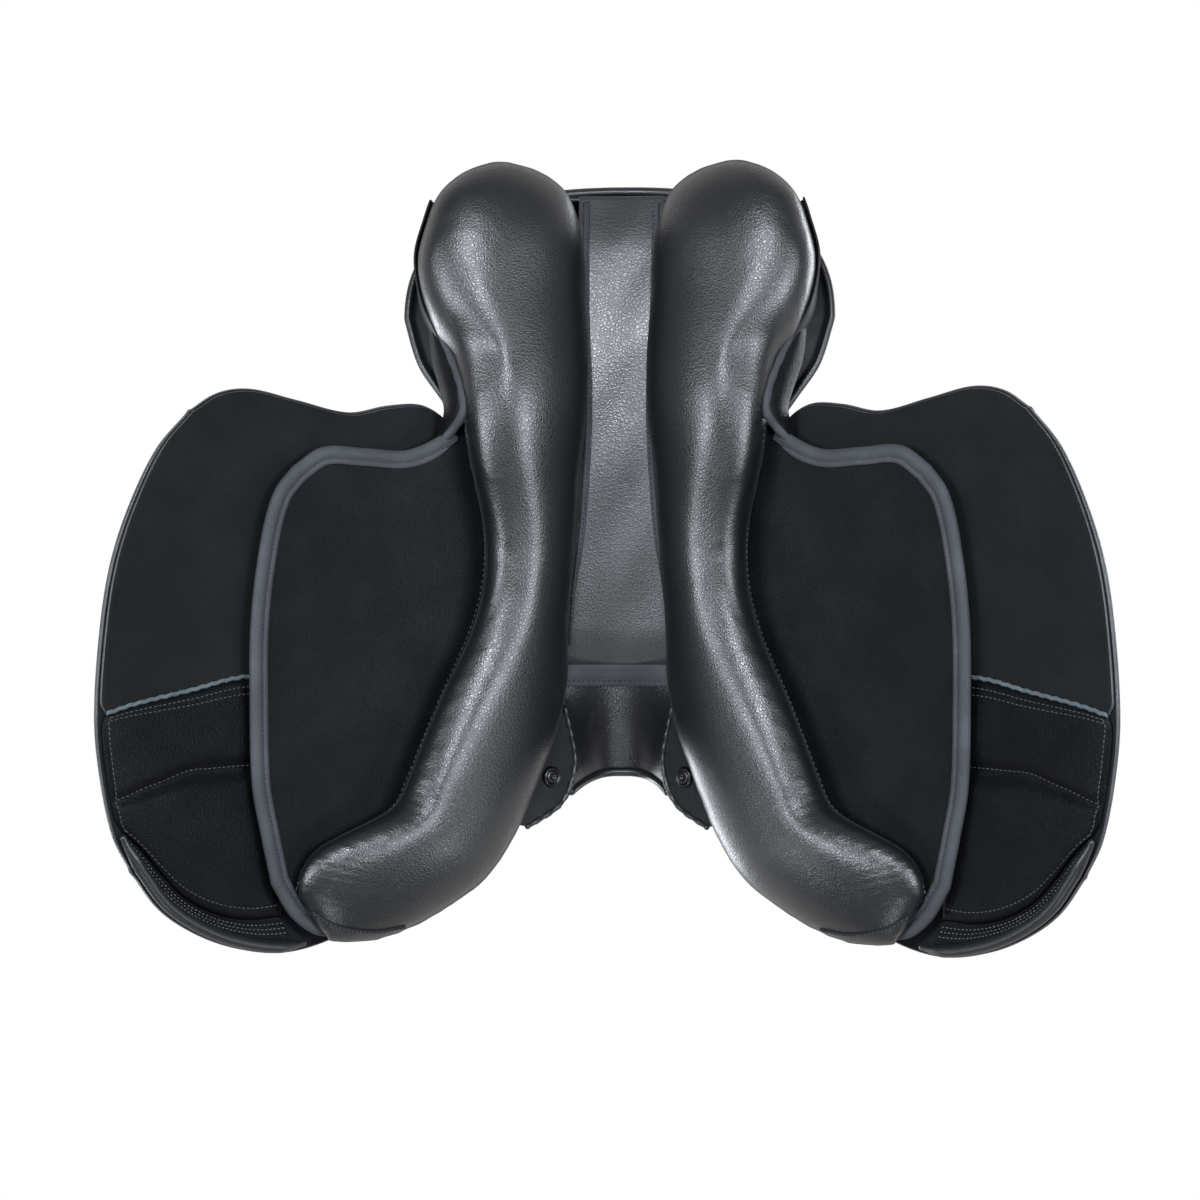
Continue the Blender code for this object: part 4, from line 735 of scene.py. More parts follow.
def vectors_of(mesh: bpy.types.Mesh, key: str = "co") -> Array:
    """A vector of each of the mesh's points: its place, or its normal.

    Args:
        mesh: the mesh.
        key: "co" for the places, "normal" for the normals.

    Returns:
        One row for each point.
    """
    found = np.empty(len(mesh.vertices) * 3, np.float32)
    mesh.vertices.foreach_get(key, found)
    return found.reshape(-1, 3).astype(float)


def slab(name: str, lower: Array, upper: Array, bulge: float = 0.5,
         side: Side | None = None) -> bpy.types.Mesh:
    """A closed sheet between two grids with a rounded rim; slots: 0 lower, 1 rim, 2 upper.

    Args:
        name: the mesh's name.
        lower: grid of points on the side that faces the horse.
        upper: grid of points on the other side.
        bulge: how far the rim stands out, as a share of its thickness.
        side: where it goes, if it was made for the left side and has a mate.

    Returns:
        The mesh.
    """
    name, lower, upper = sided(side, name, lower, upper)
    rows, columns = lower.shape[:2]
    rim = [(0, i) for i in range(columns)] + [(j, columns - 1) for j in range(1, rows)]
    rim += [(rows - 1, i) for i in range(columns - 2, -1, -1)] + [(j, 0) for j in range(rows - 2, 0, -1)]
    js, cs = np.array(rim).T
    middle = (lower + upper) / 2
    inner_j, inner_c = np.clip(js, 1, rows - 2), np.clip(cs, 1, columns - 2)
    out = unit(middle[js, cs] - middle[inner_j, inner_c])
    low, high = lower[js, cs], upper[js, cs]
    thickness = np.linalg.norm(high - low, axis=1, keepdims=True)
    rings = [low]
    for turn in (0.25, 0.5, 0.75):
        share = 0.5 - 0.5 * math.cos(math.pi * turn)
        rings.append(blend(low, high, share) + out * thickness * bulge * math.sin(math.pi * turn))
    rings.append(high)
    count = rows * columns
    points = np.vstack([lower.reshape(-1, 3), upper.reshape(-1, 3)] + rings[1:-1])
    ids = js * columns + cs
    ring_ids = [ids] + [2 * count + k * len(rim) + np.arange(len(rim)) for k in range(3)] + [count + ids]
    flat = grid_faces(rows, columns)
    faces = [flat, flat + count]
    marks = [np.zeros(len(flat)), np.full(len(flat), 2)]
    for a, b in zip(ring_ids, ring_ids[1:]):
        faces.append(np.stack([a, np.roll(a, -1), np.roll(b, -1), b], axis=1))
        marks.append(np.ones(len(rim)))
    return make_mesh(name, points, list(np.vstack(faces)), list(np.concatenate(marks).astype(int)))


def loft(name: str, rings: Array, side: Side | None = None) -> bpy.types.Mesh:
    """A closed skin over rings of points, with both ends capped.

    Args:
        name: the mesh's name.
        rings: rings by points by 3.
        side: where it goes, if it was made for the left side and has a mate.

    Returns:
        The mesh.
    """
    name, rings = sided(side, name, rings)
    count, size = rings.shape[:2]
    points = np.vstack([rings.reshape(-1, 3), rings[0].mean(0)[None], rings[-1].mean(0)[None]])
    faces = list(grid_faces(count, size, wrap=True))
    for i in range(size):
        k = (i + 1) % size
        faces.append((i, k, count * size))
        faces.append(((count - 1) * size + i, (count - 1) * size + k, count * size + 1))
    return make_mesh(name, points, faces)


def frames_along(path: Array) -> tuple[Array, Array]:
    """Two unit vectors square to a path that don't twist along it.

    Args:
        path: points of the path.

    Returns:
        The two sets of vectors.
    """
    ahead = tangents_of(path)
    start = np.array([0.0, 0.0, 1.0]) if abs(ahead[0][2]) < 0.9 else np.array([1.0, 0.0, 0.0])
    side = unit(np.cross(ahead[0], start))
    sides = []
    for direction in ahead:
        side = unit(side - direction * side.dot(direction))
        sides.append(side)
    sides = np.array(sides)
    return sides, np.cross(ahead, sides)


def tube(name: str, path: Array, radius: float | Array, facets: int = 14,
         side: Side | None = None) -> bpy.types.Mesh:
    """A round cord along a path, with rounded ends.

    Args:
        name: the mesh's name.
        path: points of its middle line.
        radius: one radius, or one for each point.
        facets: points round it.
        side: where it goes, if it was made for the left side and has a mate.

    Returns:
        The mesh.
    """
    name, path = sided(side, name, path)
    radii = np.broadcast_to(np.asarray(radius, float), (len(path),)).copy()
    ahead = tangents_of(path)
    across, up = frames_along(path)
    turns = np.linspace(0, math.pi / 2, 5)[:-1]
    head = [(path[0] - ahead[0] * radii[0] * math.cos(a), across[0], up[0], radii[0] * math.sin(a))
            for a in turns]
    tail = [(path[-1] + ahead[-1] * radii[-1] * math.cos(a), across[-1], up[-1], radii[-1] * math.sin(a))
            for a in turns[::-1]]
    body = list(zip(path, across, up, radii))
    angles = np.linspace(0, 2 * math.pi, facets, endpoint=False)
    rings = [
        spot + (np.cos(angles)[:, None] * a + np.sin(angles)[:, None] * b) * max(r, 1e-5)
        for spot, a, b, r in head + body + tail
    ]
    return loft(name, np.array(rings))


@dataclass(frozen=True)
class Sewing:
    """How a row is sewn: from stitch to stitch, a stitch's length, its radius and its middle's height."""

    pitch: float = 0.0042
    length: float = 0.0031
    radius: float = 0.00042
    lift: float = 0.00028


def stitches(name: str, path: Array, normals: Array, sewing: Sewing = Sewing(),
             side: Side | None = None) -> bpy.types.Mesh:
    """A row of stitches, each a short arc of thread whose ends go down into the leather.

    Args:
        name: the mesh's name.
        path: the seam's line on the leather.
        normals: unit vectors off the leather at each point.
        sewing: how the row is sewn.
        side: where they go, if they were made for the left side and have mates.

    Returns:
        The mesh.
    """
    name, path, normals = sided(side, name, path, normals)
    total = lengths_of(path)[-1]
    count = max(int(total / sewing.pitch), 1)
    shares = (np.arange(count) + 0.5) / count
    spots = along(path, shares)
    step = 0.25 * sewing.pitch / total
    ahead = unit(along(path, shares + step) - along(path, shares - step))
    off = along(normals, lengths_share(path, shares, normals))
    off = unit(off - ahead * (off * ahead).sum(1, keepdims=True))
    across = np.cross(ahead, off)
    places = np.linspace(-0.5, 0.5, STITCH_RINGS)
    heights = sewing.lift - (2 * places) ** 2 * (sewing.lift + sewing.radius)
    girths = sewing.radius * np.array([0.55, 0.95, 1.0, 0.95, 0.55])
    angles = np.linspace(0, 2 * math.pi, STITCH_FACETS, endpoint=False)
    points = (
        spots[:, None, None]
        + ahead[:, None, None] * (places * sewing.length)[None, :, None, None]
        + off[:, None, None] * (heights[:, None] + girths[:, None] * np.sin(angles))[None, ..., None]
        + across[:, None, None] * (girths[:, None] * np.cos(angles))[None, ..., None]
    )
    one = grid_faces(STITCH_RINGS, STITCH_FACETS, wrap=True)
    size = STITCH_RINGS * STITCH_FACETS
    faces = [list(face) for k in range(count) for face in (one + k * size)]
    caps = (np.arange(STITCH_FACETS)[::-1], np.arange(size - STITCH_FACETS, size))
    faces += [list(cap + k * size) for k in range(count) for cap in caps]
    return make_mesh(name, points.reshape(-1, 3), faces)


def lengths_share(path: Array, shares: Array, normals: Array) -> Array:
    """Shares along the rows of normals that belong to shares of a path's length.

    Args:
        path: points of the path.
        shares: shares of its length.
        normals: one row for each point of the path.

    Returns:
        Shares of the normals' own polyline length.
    """
    lengths = lengths_of(path)
    places = np.interp(shares * lengths[-1], lengths, np.arange(len(path)))
    turned = lengths_of(normals)
    if turned[-1] < 1e-9:
        return shares * 0.0
    return np.interp(places, np.arange(len(path)), turned) / turned[-1]


def joined(name: str, meshes: list[bpy.types.Mesh]) -> bpy.types.Mesh:
    """One mesh from several that share a material.

    Args:
        name: the new mesh's name.
        meshes: the meshes, which are removed.

    Returns:
        The new mesh.
    """
    bm = bmesh.new()
    for mesh in meshes:
        bm.from_mesh(mesh)
        bpy.data.meshes.remove(mesh)
    made = bpy.data.meshes.new(name)
    bm.to_mesh(made)
    bm.free()
    made.shade_smooth()
    return made


def put(mesh: bpy.types.Mesh, slot: str, finish: Finish | tuple[Finish, ...], *nodes: str,
        side: Side | None = None, body: str = BODY, fill: float | None = None) -> None:
    """Puts a piece into the scene and fastens it to its body.

    Args:
        mesh: its mesh, which has the piece's name.
        slot: not used.
        finish: one finish, or one for each of the mesh's own slots.
        nodes: the frame's pieces that it replaces, without their side where that is given.
        side: which side those are on.
        body: what it rides on.
        fill: how full it is, if it is padded; not used.
    """
    obj = bpy.data.objects.new(mesh.name, mesh)
    bpy.context.scene.collection.objects.link(obj)
    if isinstance(finish, Finish):
        finish = (finish,) * (1 + max(face.material_index for face in mesh.polygons))
    for each in finish:
        mesh.materials.append(each.material())
    if nodes:
        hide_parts(*(node if side is None else f"{node}_{side.word}" for node in nodes))
    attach(obj, body)
    LOG.info("%s: %d faces on %s", mesh.name, len(mesh.polygons), body)


# Sub-assemblies


@dataclass
class Cushion:
    """Blows a closed form up with a cloth simulation and keeps the result."""

    voxel: float = 0.005
    pressure: float = 4.0
    frames: int = 20
    most: float = 0.0042
    tension: float = 25.0
    bending: float = 0.4
    smoothing: float = 0.5
    smoothing_rounds: int = 8

    def inflate(self, mesh: bpy.types.Mesh) -> bpy.types.Mesh:
        """Swells a mesh.

        Args:
            mesh: the closed form.

        Returns:
            The swollen mesh, with one level of subdivision.
        """
        obj = bpy.data.objects.new(mesh.name + "_soft", mesh)
        bpy.context.scene.collection.objects.link(obj)
        remesh = obj.modifiers.new("skin", "REMESH")
        remesh.mode = "VOXEL"
        remesh.voxel_size = self.voxel
        self.keep(obj)
        rest = vectors_of(obj.data)
        cloth = obj.modifiers.new("cloth", "CLOTH")
        cloth.settings.use_pressure = True
        cloth.settings.uniform_pressure_force = self.pressure
        cloth.settings.tension_stiffness = self.tension
        cloth.settings.bending_stiffness = self.bending
        cloth.settings.effector_weights.gravity = 0.0
        cloth.collision_settings.use_collision = False
        cloth.point_cache.frame_start, cloth.point_cache.frame_end = 1, self.frames
        scene = bpy.context.scene
        for step in range(1, self.frames + 1):
            scene.frame_set(step)
        self.keep(obj)
        scene.frame_set(1)
        moved = vectors_of(obj.data) - rest
        far = np.linalg.norm(moved, axis=1, keepdims=True)
        held_back = rest + moved * np.minimum(1.0, self.most / np.maximum(far, 1e-9))
        obj.data.vertices.foreach_set("co", held_back.astype(np.float32).ravel())
        smoother = obj.modifiers.new("smoother", "SMOOTH")
        smoother.factor, smoother.iterations = self.smoothing, self.smoothing_rounds
        finer = obj.modifiers.new("finer", "SUBSURF")
        finer.levels = finer.render_levels = 1
        self.keep(obj)
        made = obj.data
        bpy.data.objects.remove(obj)
        made.shade_smooth()
        return made

    def keep(self, obj: bpy.types.Object) -> None:
        """Turns what the modifiers make into the object's own mesh.

        Args:
            obj: the object.
        """
        graph = bpy.context.evaluated_depsgraph_get()
        made = bpy.data.meshes.new_from_object(obj.evaluated_get(graph))
        obj.modifiers.clear()
        obj.data = made


@dataclass
class Panels:
    """The two flocked tubes that bear on the horse, with their gussets and seams.

    A rung is an inner place, an outer place, the height of the crown and the depth of the back. A
    wrinkle is a place, a direction, a wavelength, a size and a depth. A seam is where it starts and
    ends, its points and how it is sewn. The wall's pairs are shares of the half width and of the
    depth.
    """

    rungs: tuple = (
        ((0.096, 0.3510), (0.112, 0.3505), 0.008, 0.010),
        ((0.068, 0.3445), (0.138, 0.3415), 0.020, 0.022),
        ((0.044, 0.329), (0.161, 0.323), 0.032, 0.032),
        ((0.035, 0.308), (0.172, 0.299), 0.040, 0.038),
        ((0.030, 0.282), (0.180, 0.270), 0.044, 0.040),
        ((0.029, 0.245), (0.173, 0.235), 0.046, 0.036),
        ((0.027, 0.203), (0.152, 0.197), 0.047, 0.026),
        ((0.026, 0.160), (0.143, 0.158), 0.047, 0.012),
        ((0.029, 0.110), (0.132, 0.108), 0.043, 0.004),
        ((0.0335, 0.062), (0.121, 0.058), 0.041, 0.004),
        ((0.0372, 0.020), (0.122, 0.015), 0.041, 0.004),
        ((0.041, -0.025), (0.134, -0.025), 0.041, 0.004),
        ((0.043, -0.070), (0.156, -0.068), 0.041, 0.004),
        ((0.053, -0.110), (0.174, -0.105), 0.041, 0.004),
        ((0.070, -0.149), (0.189, -0.137), 0.041, 0.004),
        ((0.089, -0.187), (0.200, -0.157), 0.040, 0.004),
        ((0.115, -0.222), (0.222, -0.171), 0.039, 0.004),
        ((0.155, -0.247), (0.245, -0.182), 0.035, 0.004),
        ((0.197, -0.264), (0.266, -0.192), 0.029, 0.004),
        ((0.234, -0.2685), (0.280, -0.207), 0.021, 0.004),
        ((0.254, -0.266), (0.285, -0.225), 0.010, 0.004),
    )
    back_lean: float = 0.36
    lean_end: tuple[float, float] = (0.220, 0.270)
    seam_drop: float = 0.004
    swell: float = 0.035
    dome_width_power: float = 0.92
    dome_height_power: float = 0.86
    skew_power: float = 1.1
    wall: tuple = ((0.2, 1.0), (0.55, 1.0), (0.86, 1.0), (0.93, 0.93), (0.97, 0.74), (0.99, 0.36))
    lean_depth: float = 0.022
    skews: tuple = ((-0.27, 0.30), (-0.18, 0.48), (0.08, 0.55), (0.20, 0.27), (0.35, 0.20))
    stations: int = 110
    dome_points: int = 161
    ring_points: int = 72
    tip_edge: tuple = ((0.2240, -0.2370), (0.2050, -0.2480), (0.1800, -0.2530), (0.1600, -0.2510))
    tip_radius: float = 0.0016
    swell_room: float = 0.0006
    fill: float = 0.75
    wrinkles: tuple = (
        (0.118, 0.145, 1.3, 0.012, 0.020, 0.0005),
        (0.150, -0.150, 2.2, 0.013, 0.020, 0.0004),
        (0.208, -0.205, 2.0, 0.011, 0.022, 0.0006),
    )
    gusset_thick: float = 0.0018
    gusset_depth: float = 0.012
    gusset_end: float = 0.316
    gusset_clear: float = 0.0009
    seams: tuple = ((0.300, 0.160, 120, Sewing(pitch=0.0046)),
                    (0.150, -0.225, 260, Sewing(pitch=0.0046, radius=0.00034)))
    tip_sewing: Sewing = Sewing(0.0036, 0.0027, 0.00032)

    def rung_table(self, count: int, crowding: float = 0.5) -> Array:
        """Rungs along the tube's middle line, closer together towards its ends.

        Args:
            count: how many.
            crowding: share of the crowding.

        Returns:
            Rows of inner reach, inner y, outer reach, outer y, crown and depth.
        """
        flat = np.array([(*i, *o, crown, depth) for i, o, crown, depth in self.rungs])
        dense = np.hstack([
            smooth_path((flat[:, 0:2] + flat[:, 2:4]) / 2, 10),
            smooth_path(flat[:, [0, 1, 4]], 10),
            smooth_path(flat[:, [2, 3, 5]], 10),
        ])
        lengths = lengths_of(dense[:, :2])
        share = np.linspace(0, 1, count)
        crowded = 0.5 - 0.5 * np.cos(math.pi * share)
        wanted = (share + (crowded - share) * crowding) * lengths[-1]
        picked = np.stack([np.interp(wanted, lengths, dense[:, k]) for k in range(2, 8)], axis=1)
        return picked[:, [0, 1, 3, 4, 2, 5]]

    def section_frame(self, rung: Array) -> tuple[Array, Array, Array, Array, float]:
        """Where a cross-section of the tube stands.

        Args:
            rung: one row of the rung table.

        Returns:
            Its centre, its lateral, downward and upward directions, and its half width.
        """
        inner, outer, depth = rung[0:2], rung[2:4], rung[5]
        a, b = DRAPE.lifted(inner), DRAPE.lifted(outer)
        lateral = unit(b - a)
        down = -DRAPE.normal((inner[0] + outer[0]) / 2)
        down = unit(down - lateral * down.dot(lateral))
        start, end = self.lean_end
        lean = self.back_lean * (1 - ease((inner[1] - start) / (end - start)))
        lifted = ease((depth - self.seam_drop) / self.lean_depth)
        upwards = unit(blend(-down, np.array([lean, 0.0, 1.0]), lifted))
        centre = (a + b) / 2 + down * (self.seam_drop + TOUCH)
        return centre, lateral, down, upwards, float(np.linalg.norm(b - a) / 2)

    def section(self, rung: Array, shrink: float = 0.0) -> Array:
        """Points round the tube at one rung.

        Args:
            rung: one row of the rung table.
            shrink: how far inside the cover the points lie.

        Returns:
            A ring of points that starts at the back, on the outer side.
        """
        centre, lateral, down, upwards, half = self.section_frame(rung)
        half -= shrink
        back = max(rung[5], self.seam_drop) - shrink
        height = max(rung[4] - shrink, 0.002)
        turns = np.linspace(0, math.pi, self.dome_points)
        cosine = np.cos(turns)
        sine = np.abs(np.sin(turns))
        wide = np.sign(cosine) * np.abs(cosine) ** self.dome_width_power
        wide = wide * (1 + self.swell * np.sin(turns) ** 0.5)
        wide = wide + profile(self.skews, rung[1]) * sine ** self.skew_power
        rise = -height * sine ** self.dome_height_power
        wall, wall_rise = np.array(self.wall).T
        wall_rise = wall_rise * back
        wides = np.concatenate([wall, wide, -wall[::-1]])
        rises = np.concatenate([wall_rise, rise, wall_rise[::-1]])
        direction = np.where(rises[:, None] > 0, upwards * rises[:, None], down * -rises[:, None])
        ring = centre + lateral * (half * wides)[:, None] + direction
        return even(np.vstack([ring, ring[:1]]), self.ring_points + 1)[:-1]

    def seam_line(self, first: float, last: float, count: int) -> tuple[Array, Array]:
        """The outer seam between the tube and what it is sewn to.

        Args:
            first: where it starts, as a y on the outer edge.
            last: where it ends.
            count: points along it.

        Returns:
            Points on the seam and unit vectors off it.
        """
        table = self.rung_table(count, 0.0)
        table = table[(table[:, 3] <= first) & (table[:, 3] >= last)]
        points, normals = [], []
        for rung in table:
            centre, lateral, down, _, half = self.section_frame(rung)
            points.append(centre + lateral * (half * 0.985) + down * rung[4] * 0.16)
            normals.append(unit(lateral * 0.85 + down * 0.5))
        return np.array(points), np.array(normals)

    def build(self) -> None:
        """Makes the cushions, gussets and seams of both sides."""
        table = self.rung_table(self.stations)
        shrink = self.swell_room
        rings = np.array([self.section(rung, shrink) for rung in table])
        soft = loft("panel_form", rings)
        soft = Cushion().inflate(soft)
        self.settle(soft)
        for side in Side:
            mesh = soft.copy()
            mesh.name = f"panel_cushion_{side.word}"
            if side is Side.RIGHT:
                mesh.transform(Matrix.Scale(-1, 4, Vector((1, 0, 0))))
                mesh.flip_normals()
            put(mesh, "panel_leather", PANEL_LEATHER, "panel_cover", "panel_flock", side=side,
                fill=self.fill)
            self.build_gusset(side)
            self.build_seams(side)
            self.build_tip_edge(side, soft)

    def settle(self, mesh: bpy.types.Mesh) -> None:
        """Draws the leather in along its wrinkles, which run out from the waist and the front point.

        Args:
            mesh: the left cushion.
        """
        points, normals = vectors_of(mesh), vectors_of(mesh, "normal")
        depth = np.zeros(len(points))
        for x, y, angle, wavelength, size, amount in self.wrinkles:
            dx, dy = points[:, 0] - x, points[:, 1] - y
            run = dx * math.cos(angle) + dy * math.sin(angle)
            fade = np.exp(-(dx * dx + dy * dy) / (size * size))
            depth += amount * fade * (0.5 - 0.5 * np.cos(2 * math.pi * run / wavelength + 9 * dy / size))
        low = 0.5 - 0.5 * np.sign(normals[:, 2])
        points -= normals * (depth * low)[:, None]
        mesh.vertices.foreach_set("co", points.astype(np.float32).ravel())
        mesh.update()

    def build_tip_edge(self, side: Side, soft: bpy.types.Mesh) -> None:
        """The short bound edge sewn over the cushion's front end.

        Args:
            side: which side.
            soft: the left cushion.
        """
        bm = bmesh.new()
        bm.from_mesh(soft)
        tree = BVHTree.FromBMesh(bm)
        bm.free()
        points, normals = [], []
        for x, y in even(smooth_path(self.tip_edge), 50):
            spot, normal, _, _ = tree.ray_cast(Vector((x, y, -0.5)), Vector((0, 0, 1)))
            if spot is not None:
                points.append(spot)
                normals.append(normal if normal.z < 0 else -normal)
        path, off = np.array(points), unit(np.array(normals))
        mesh = tube("panel_tip_binding", path + off * 0.0002, self.tip_radius, 12, side)
        put(mesh, "binding_leather", GUSSET_LEATHER)
        mesh = stitches("panel_tip_stitching", path + off * 0.0017, off, self.tip_sewing, side)
        put(mesh, "binding_leather", THREAD)

    def build_gusset(self, side: Side) -> None:
        """The smooth wall on the outer side of the rear lobe.

        Args:
            side: which side.
        """
        table = self.rung_table(150, 0.7)
        table = table[(table[:, 5] > self.gusset_depth) & (table[:, 3] < self.gusset_end)]
        shares = np.linspace(0.04, 1.0, 9)
        rows = []
        for rung in table:
            centre, lateral, _, upwards, half = self.section_frame(rung)
            swell = 1.0 + 0.012 * np.sin(math.pi * shares)
            wide = half * (1.005 - 0.04 * shares ** 3) * swell + self.gusset_clear
            rows.append(centre + lateral * wide[:, None] + upwards * (rung[5] * 0.8 * shares)[:, None])
        inner = np.array(rows)
        outer = inner + np.array([1.0, 0.15, 0.0]) / 1.011 * self.gusset_thick
        mesh = slab("gusset", inner, outer, side=side)
        put(mesh, "panel_leather", GUSSET_LEATHER, "rear_gusset", side=side)

    def build_seams(self, side: Side) -> None:
        """The sewn seams along the lobe and the front point.

        Args:
            side: which side.
        """
        rows = [
            stitches("row", *self.seam_line(*line), sewing, side)
            for *line, sewing in self.seams
        ]
        put(joined(f"panel_stitching_{side.word}", rows), "panel_leather", THREAD)


@dataclass
class SweatFlaps:
    """The thin flaps under the panels, with the binding round their edges."""

    inner: tuple = ((0.092, -0.150), (0.088, -0.050), (0.088, 0.020), (0.092, 0.102))
    rear: tuple = ((0.092, 0.102), (0.104, 0.132), (0.118, 0.1465), (0.131, 0.1445), (0.144, 0.1290),
                   (0.180, 0.1125), (0.220, 0.1125), (0.255, 0.1125), (0.279, 0.098))
    outer: tuple = ((0.2960, -0.2140), (0.3045, -0.178), (0.3125, -0.139), (0.3145, -0.075),
                    (0.3135, -0.014), (0.3045, 0.047), (0.294, 0.080), (0.279, 0.098))
    front: tuple = ((0.092, -0.150), (0.115, -0.195), (0.155, -0.228), (0.205, -0.244),
                    (0.254, -0.2525), (0.278, -0.2395), (0.2960, -0.2140))
    thick: float = 0.003
    binding_width: float = 0.0095
    binding_end_width: float = 0.0065
    binding_thick: float = 0.0016
    binding_edge: float = 0.0045
    ear: float = 0.1415
    tip: float = 0.2500
    seam_in: float = 0.0050
    ear_path: tuple = ((0.1330, 0.1270, -0.0010), (0.1270, 0.1330, -0.0030), (0.1180, 0.1460, -0.0100),
                       (0.1195, 0.1650, -0.0065), (0.1265, 0.1850, 0.0030), (0.1345, 0.2030, 0.0120),
                       (0.1420, 0.2180, 0.0200))
    ear_turn: tuple[float, float, float] = (0.020, 0.004, 0.022)
    ear_thick: float = 0.0016
    ear_sag: float = 0.006
    ear_face: tuple[float, float, float] = (0.75, 0.0, 0.66)
    ear_radius: float = 0.0036
    ear_ripple: float = 0.0003
    ear_sewing: Sewing = Sewing(0.0036, 0.0027, 0.00034)
    binding_sewing: Sewing = Sewing(0.0036, 0.0026, 0.00050, 0.00016)

    def edge_path(self) -> Array:
        """The outline that the binding covers, from the ear to the front tip.

        Returns:
            Places along it.
        """
        rear, outer, front = smooth_path(self.rear), smooth_path(self.outer), smooth_path(self.front)
        rear, front = rear[rear[:, 0] > self.ear], front[front[:, 0] > self.tip]
        return np.vstack([rear, outer[::-1][1:], front[::-1][1:]])

    def outward(self, path: Array) -> Array:
        """Unit vectors in the flap's own plane that point away from its middle.

        Args:
            path: places along the edge.

        Returns:
            One vector for each place.
        """
        ahead = tangents_of(path)
        out = np.stack([ahead[:, 1], -ahead[:, 0]], axis=1)
        turned = ((path - path.mean(0)) * out).sum(1) < 0
        out[turned] *= -1
        return out

    def build(self) -> None:
        """Makes both flaps with their bindings and stitches."""
        edges = (smooth_path(edge) for edge in (self.inner, self.outer, self.front, self.rear))
        places = patch(*edges, 96, 72)
        for side in Side:
            mesh = slab("sweat_flap", DRAPE.on(places), DRAPE.on(places, self.thick), 0.3, side)
            put(mesh, "flap_lining_leather", SWEAT_LEATHER, "panel_flap", side=side)
            self.build_binding(side)
            self.build_ear(side)

    def build_ear(self, side: Side) -> None:
        """The bound tab that turns from the flap's rear corner up round the cushion's waist.

        Args:
            side: which side.
        """
        path = even(smooth_path(self.ear_path), 70)
        share = np.linspace(0, 1, 70)[:, None]
        back = path + np.array(self.ear_turn) * (0.35 + 0.65 * np.sin(math.pi * share))
        across = np.linspace(0, 1, 12)[:, None, None]
        inner = blend(path[None], back[None], across)
        inner = inner - np.array([0, 0, self.ear_sag]) * np.sin(math.pi * across)
        outer = inner + unit(np.array(self.ear_face)) * self.ear_thick
        put(slab("waist_tab", inner, outer, 0.4, side), "binding_leather", SWEAT_LEATHER)
        ripple = self.ear_ripple * np.sin(share[:, 0] * 40) * np.sin(math.pi * share[:, 0])
        radius = self.ear_radius + ripple
        put(tube("waist_tab_binding", path, radius, 16, side), "binding_leather", BINDING_LEATHER)
        line = inner[2, 2:-2]
        off = np.tile([-0.55, 0.0, -0.83], (len(line), 1))
        mesh = stitches("waist_tab_stitching", line, off, self.ear_sewing, side)
        put(mesh, "binding_leather", THREAD)

    def build_binding(self, side: Side) -> None:
        """The band over the horse's side and the lip round the edge, with a sewn groove.

        Args:
            side: which side.
        """
        path = even(self.edge_path(), 260)
        out = self.outward(path)
        full = tapered(len(path), 0.05)
        width = self.binding_end_width + (self.binding_width - self.binding_end_width) * full
        t, lip = self.binding_thick, self.thick + self.binding_thick * 0.6
        seam = self.seam_in
        section = [
            (-1.0, -0.0003, 1), (-1.0, -t * 0.7, 1), (-0.96, -t, 1), (-0.75, -t - 0.0003, 1),
            (-seam - 0.0012, -t - 0.0002, 0), (-seam, -t + 0.0005, 0), (-seam + 0.0012, -t - 0.0004, 0),
            (-0.0015, -t - 0.0010, 0), (0.0014, -t - 0.0008, 0), (0.0036, -t + 0.0004, 0),
            (self.binding_edge, 0.0004, 0), (self.binding_edge, lip * 0.6, 0), (0.0036, lip * 0.95, 0),
            (0.0020, lip, 0), (0.0012, lip * 0.8, 0), (0.0012, -0.0004, 0),
        ]
        rings = []
        for across, off, scaled in section:
            reachy = path + out * (np.where(scaled, width, 1.0) * across)[:, None]
            rings.append(DRAPE.on(reachy, off))
        rings = np.stack(rings, axis=1)
        mesh = loft("sweat_flap_binding", rings, side)
        put(mesh, "binding_leather", BINDING_LEATHER, "panel_binding", side=side)
        line = DRAPE.on(path - out * seam, -t + 0.0003)
        off = -DRAPE.normal((path - out * seam)[:, 0])
        mesh = stitches("binding_stitching", line, off, self.binding_sewing, side)
        put(mesh, "binding_leather", BLACK_THREAD)


